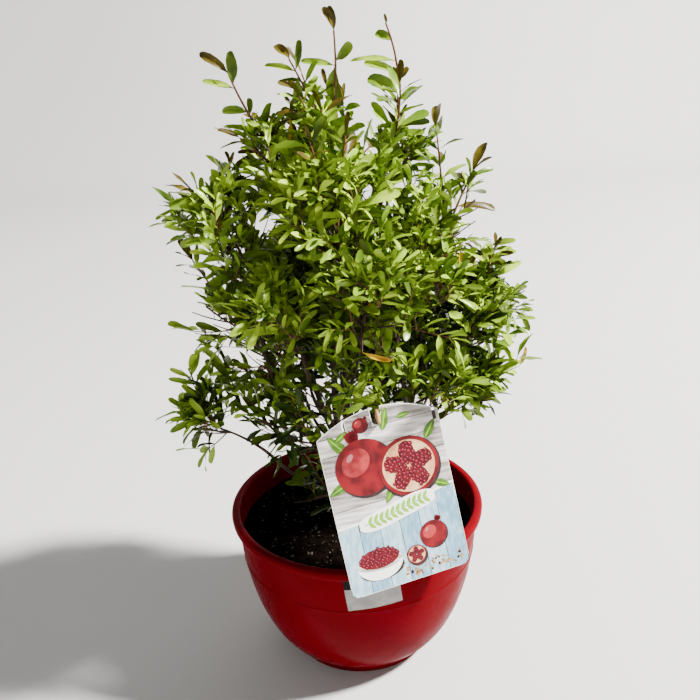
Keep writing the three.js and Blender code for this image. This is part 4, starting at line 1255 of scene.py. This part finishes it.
def lay_fruit(centre, radius, crown_turn, layer):
    """A whole fruit with its crown, a lighter cheek and a glint."""
    (root,) = laid(centre, crown_turn, [(0.86 * radius, 0)])
    for i in range(-2, 3):
        leaf = leaf_outline(root, 0.5 * radius, 0.24 * radius, crown_turn + 0.24 * i)
        lay(leaf, "skin", layer)
    for kind, rise, x, y, width, height, *shape in (
        ("shade", 0.3, 0.05, -0.06, 1.03, 1, 0, 36), ("skin", 0.6, 0, 0, 1, 0.96, 0, 40),
        ("skin_light", 1, -0.25, 0.22, 0.52, 0.44, 0.6), ("glint", 1.4, -0.42, 0.42, 0.16, 0.09, 0.8, 14),
    ):
        spot = (centre[0] + x * radius, centre[1] + y * radius)
        oval(kind, layer + rise, spot, (width * radius, height * radius), *shape)


def lay_cut_fruit(draw, centre, radius, layer):
    """Half a fruit: skin, pith and five pockets of seeds."""
    oval("shade", layer, (centre[0] + 1, centre[1] - 1.4), (1.04 * radius, radius), 0, 40)
    oval("skin", layer + 0.3, centre, (radius, 0.96 * radius), 0, 40)
    oval("pith", layer + 0.6, centre, (0.88 * radius, 0.84 * radius), 0, 40)
    for i in range(5):
        turn = 0.3 + i * 2 * math.pi / 5
        spot = (centre[0] + 0.47 * radius * math.cos(turn), centre[1] + 0.45 * radius * math.sin(turn))
        oval("skin", layer + 0.8, spot, (0.37 * radius, 0.265 * radius), turn)
        lay_seeds(draw, spot, (0.36 * radius, 0.26 * radius), 19, layer + 1, turn)


def print_boards():
    """Boards that run across, a curved white band and upright boards below it, all with dark seams."""
    half, foot, top = CARD_WIDTH / 2 - 0.4, -CARD_SIDE / 2 + 0.4, CARD_SIDE / 2
    under_all = [(-half, foot + CORNER_CUT), (-half + CORNER_CUT, foot), (half - CORNER_CUT, foot)]
    under_all += [(half, foot + CORNER_CUT), (half, top - SEAM), (-half, top - SEAM)]
    lay(under_all, "shade", 0.25)
    for i in range(4):
        low = DIVIDE - 1 + i * (top - DIVIDE + 1) / 5
        high = DIVIDE - 1 + (i + 1) * (top - DIVIDE + 1) / 5 - SEAM
        board = [(-half, low), (half, low), (half, high), (-half, high)]
        lay(board, "plank" if i % 2 else "plank_pale", 0.5)
    # The highest boards follow the arch and leave the notch and the slits open.
    low, mid = high + SEAM, top - SEAM
    for left, right, under, over in (
        (-half, RIGHT_SLIT[0], low, mid - 0.5), (*RIGHT_SLIT, low, RIGHT_SLIT_FOOT),
        (RIGHT_SLIT[1], half, low, mid - 0.5), (-half, LEFT_SLIT[0], mid, None),
        (LEFT_SLIT[1], -NOTCH_SIDE, mid, None), (NOTCH_SIDE, RIGHT_SLIT[0], mid, None),
    ):
        across = np.linspace(left, right, 9)
        outline = [(x, under) for x in across] + [(x, over or card_top(x) - 0.7) for x in across[::-1]]
        lay(outline, "plank_pale" if over else "plank", 0.5)

    def divider(x):
        return DIVIDE + DIVIDE_RISE * ((x + half) / (2 * half)) ** 1.6

    width = 2 * half / 6
    for i in range(6):
        left, right = -half + i * width, -half + (i + 1) * width - SEAM
        first, last = CORNER_CUT if i == 0 else 0.0, CORNER_CUT if i == 5 else 0.0
        side = foot + max(first, last)
        outline = [(left + first, foot), (right - last, foot), (right, side)]
        outline += [(right, divider(right)), (left, divider(left)), (left, side)]
        lay(outline, "blue" if i % 2 else "blue_pale", 1)
    across = np.linspace(-half, half, 24)
    band = [(x, divider(x) - 1.0) for x in across] + [(x, divider(x) + 0.8) for x in across[::-1]]
    lay(band, "white", 1.5)


def print_ribbon():
    """A blank ribbon with a sprig."""

    def wave(x, middle=-6):
        return middle + 4.5 * math.sin(x / 22)

    ribbon = [
        (x, wave(x) + side * 8.0 * (1 - (x / 36) ** 4) ** 0.5)
        for side in (1, -1)
        for x in np.linspace(-34 * side, 34 * side, 30)
    ]
    lay(ribbon[::-1], "white", 8)
    for x in np.linspace(-26, 24, 11):
        for side in (-1, 1):
            lay(leaf_outline((x, wave(x)), 7.5, 3.2, 0.15 + side * 0.85), "lime", 8.4)
    vine = [(x, wave(x, -6.4)) for x in np.linspace(-30, 28, 20)]
    lay(vine + [(x, y + 0.8) for x, y in reversed(vine)], "lime", 8.7)


def build_card():
    edge = card_outline()
    count = len(edge)
    points = on_card([(x, y, z) for z in (0.0, CARD_THICKNESS) for x, y in edge])
    faces = [[i, (i + 1) % count, (i + 1) % count + count, i + count] for i in range(count)]
    faces += [list(range(count))[::-1], list(range(count, 2 * count))]
    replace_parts(make_piece("hung_card", points, faces, [CARD_BOARD], smooth=False), "picture_card")

    draw = np.random.default_rng(21)
    print_boards()
    for root, length, width, turn in PRINT_LEAVES:
        lay(leaf_outline(root, length, width, turn), "leaf", 2)
        lay(leaf_outline(root, length * 0.92, width * 0.18, turn), "lime", 2.3)
    lay_fruit((-19, 37), 24.5, 1.75, 3)
    lay_fruit((-15, 71.5), 6.5, 0.7, 2.4)
    lay_cut_fruit(draw, (18, 28), 26.0, 5)
    print_ribbon()

    # A bowl of seeds, a small fruit, loose seeds and flakes below it.
    oval("shade", 2, (-23, -50), (19.5, 9.5), 0, 36)
    oval("white", 2.4, (-24, -44), (20, 15), 0, 40, (math.pi, 2 * math.pi))
    oval("plank_pale", 2.8, (-24, -43.6), (20, 7.0), 0, 40)
    oval("skin", 3.0, (-24, -40.6), (17.6, 8.4), 0, 30)
    lay_seeds(draw, (-24, -40.0), (17.0, 8.2), 60, 3.2)
    lay_fruit((26, -34), 12.0, 1.1, 3)
    lay_cut_fruit(draw, (8, -47), 8.5, 5)
    for _ in range(46):
        spot = (draw.uniform(-6, 46), draw.uniform(-64, -53))
        size = draw.uniform(0.8, 1.7)
        if draw.random() < 0.3:
            oval("seed", 3, spot, (size, 0.75 * size), draw.uniform(0, 3), 9)
        else:
            flake = ellipse(spot, (1.3 * size, 0.7 * size), draw.uniform(0, 3), 9)
            lay(flake, "ochre", 2.5 + draw.random())
    print_pile.piece("card_print", list(PRINT.values()), "card", smooth=False)


# ---- The blank sticker on the pot's wall, half behind the card

STICKER_CORNER = (-97.6, 139.5)  # bearing and height of its upper left corner
STICKER_SIZE = (48.0, 33.0)
STICKER_STRIP = 9.5  # the dark band along its top
STICKER_LEAN = math.radians(6.0)
STICKER_PROUD = 0.12


def build_sticker():
    columns, rows = 32, 16
    width, height = STICKER_SIZE
    bearing, top = STICKER_CORNER
    cos, sin = math.cos(STICKER_LEAN), math.sin(STICKER_LEAN)
    points = []
    for row, column in product(range(rows + 1), range(columns + 1)):
        across, down = width * column / columns, height * row / rows
        z = min(top + across * sin - down * cos, RIM_HEIGHT - LIP_HEIGHT - 0.5)
        radius = wall_radius(z) + STICKER_PROUD + (0.5 if abs(z - RING_LINE_HEIGHT) < 3 else 0.0)
        angle = math.radians(bearing) + (across * cos + down * sin) / radius
        points.append((radius * math.cos(angle), radius * math.sin(angle), z))
    step = columns + 1
    corners = [row * step + column for row, column in product(range(rows), range(columns))]
    faces = [[i, i + step, i + step + 1, i + 1] for i in corners]
    marks = [int(height * (i // step) / rows < STICKER_STRIP) for i in corners]
    # The paper is a darker grey than the pale sticker: painted shade.
    shaded_paper = printed("sticker_paper_in_shade", (0.27, 0.26, 0.25), (0.19, 0.18, 0.175), 80.0)
    ink = printed("sticker_strip", (0.004, 0.004, 0.004), (0.008, 0.008, 0.008), 80.0, shine=0.05)
    make_piece("wall_sticker", points, faces, [shaded_paper, ink], marks=marks)


# ---- Camera, light and floor

STAGE_FLAT, STAGE_BEND, STAGE_TOP = 4600.0, 1600.0, 3800.0
STAGE_NEARER = 0.45  # how much nearer the wall stands behind the shrub than in front of it
STAGE_GREY = (0.46, 0.46, 0.46)
SKY_STRENGTH = 0.3
LIGHT_PLACE, LIGHT_AIM = (3650.0, -250.0, 3950.0), (0, 0, 260)
LIGHT_SIZE, LIGHT_POWER, LIGHT_COLOUR = 0.6, 2050.0, (1.0, 0.98, 0.93)


def build_camera():
    data = bpy.data.cameras.new("camera")
    data.lens, data.sensor_width = CAMERA_LENS, CAMERA_SENSOR
    camera = into_scene("camera", data)
    tilt, pan, roll = (math.radians(a) for a in (CAMERA_TILT, CAMERA_PAN, CAMERA_ROLL))
    forward = np.array([math.sin(pan) * math.cos(tilt), math.cos(pan) * math.cos(tilt), -math.sin(tilt)])
    level = unit(np.cross(forward, UP))
    right = math.cos(roll) * level + math.sin(roll) * np.cross(level, forward)
    turn = Matrix(np.array([right, np.cross(right, forward), -forward]).T.tolist()).to_4x4()
    camera.matrix_world = Matrix.Translation(Vector(CAMERA_PLACE) * MM) @ turn
    bpy.context.scene.camera = camera


def build_light():
    world = bpy.data.worlds.new("studio")
    world.use_nodes = True
    set_inputs(world.node_tree.nodes["Background"], Color=(1.0, 1.0, 1.0, 1.0), Strength=SKY_STRENGTH)
    bpy.context.scene.world = world
    data = bpy.data.lights.new("key", "AREA")
    data.shape, data.size, data.energy, data.color = "DISK", LIGHT_SIZE, LIGHT_POWER, LIGHT_COLOUR
    light = into_scene("key", data)
    light.location = Vector(LIGHT_PLACE) * MM
    aim = Vector(LIGHT_AIM) * MM - light.location
    light.rotation_mode = "QUATERNION"
    light.rotation_quaternion = aim.to_track_quat("-Z", "Y")


def build_stage():
    """A round floor that curves up into a wall all round."""
    profile = [(0.0, 0.0), (STAGE_FLAT / 2, 0.0)]
    for i in range(17):
        angle = math.pi / 2 * i / 16
        profile.append((STAGE_FLAT + STAGE_BEND * math.sin(angle), STAGE_BEND * (1 - math.cos(angle))))
    profile.append((STAGE_FLAT + STAGE_BEND, STAGE_TOP))
    points, faces = turned(profile, 96)
    points = np.array(points)
    behind = points[:, 1] / np.maximum(np.hypot(points[:, 0], points[:, 1]), 1.0)
    points[:, :2] *= (1 - STAGE_NEARER * np.maximum(behind, 0) ** 2)[:, None]
    floor = make_piece("floor", points, faces, [node_material("pale_floor", STAGE_GREY, 0.9)])


build_camera()
build_light()
build_stage()
build_limbs()
grow_foliage()
build_pot()
build_soil()
build_dry_twig()
build_card()
build_sticker()
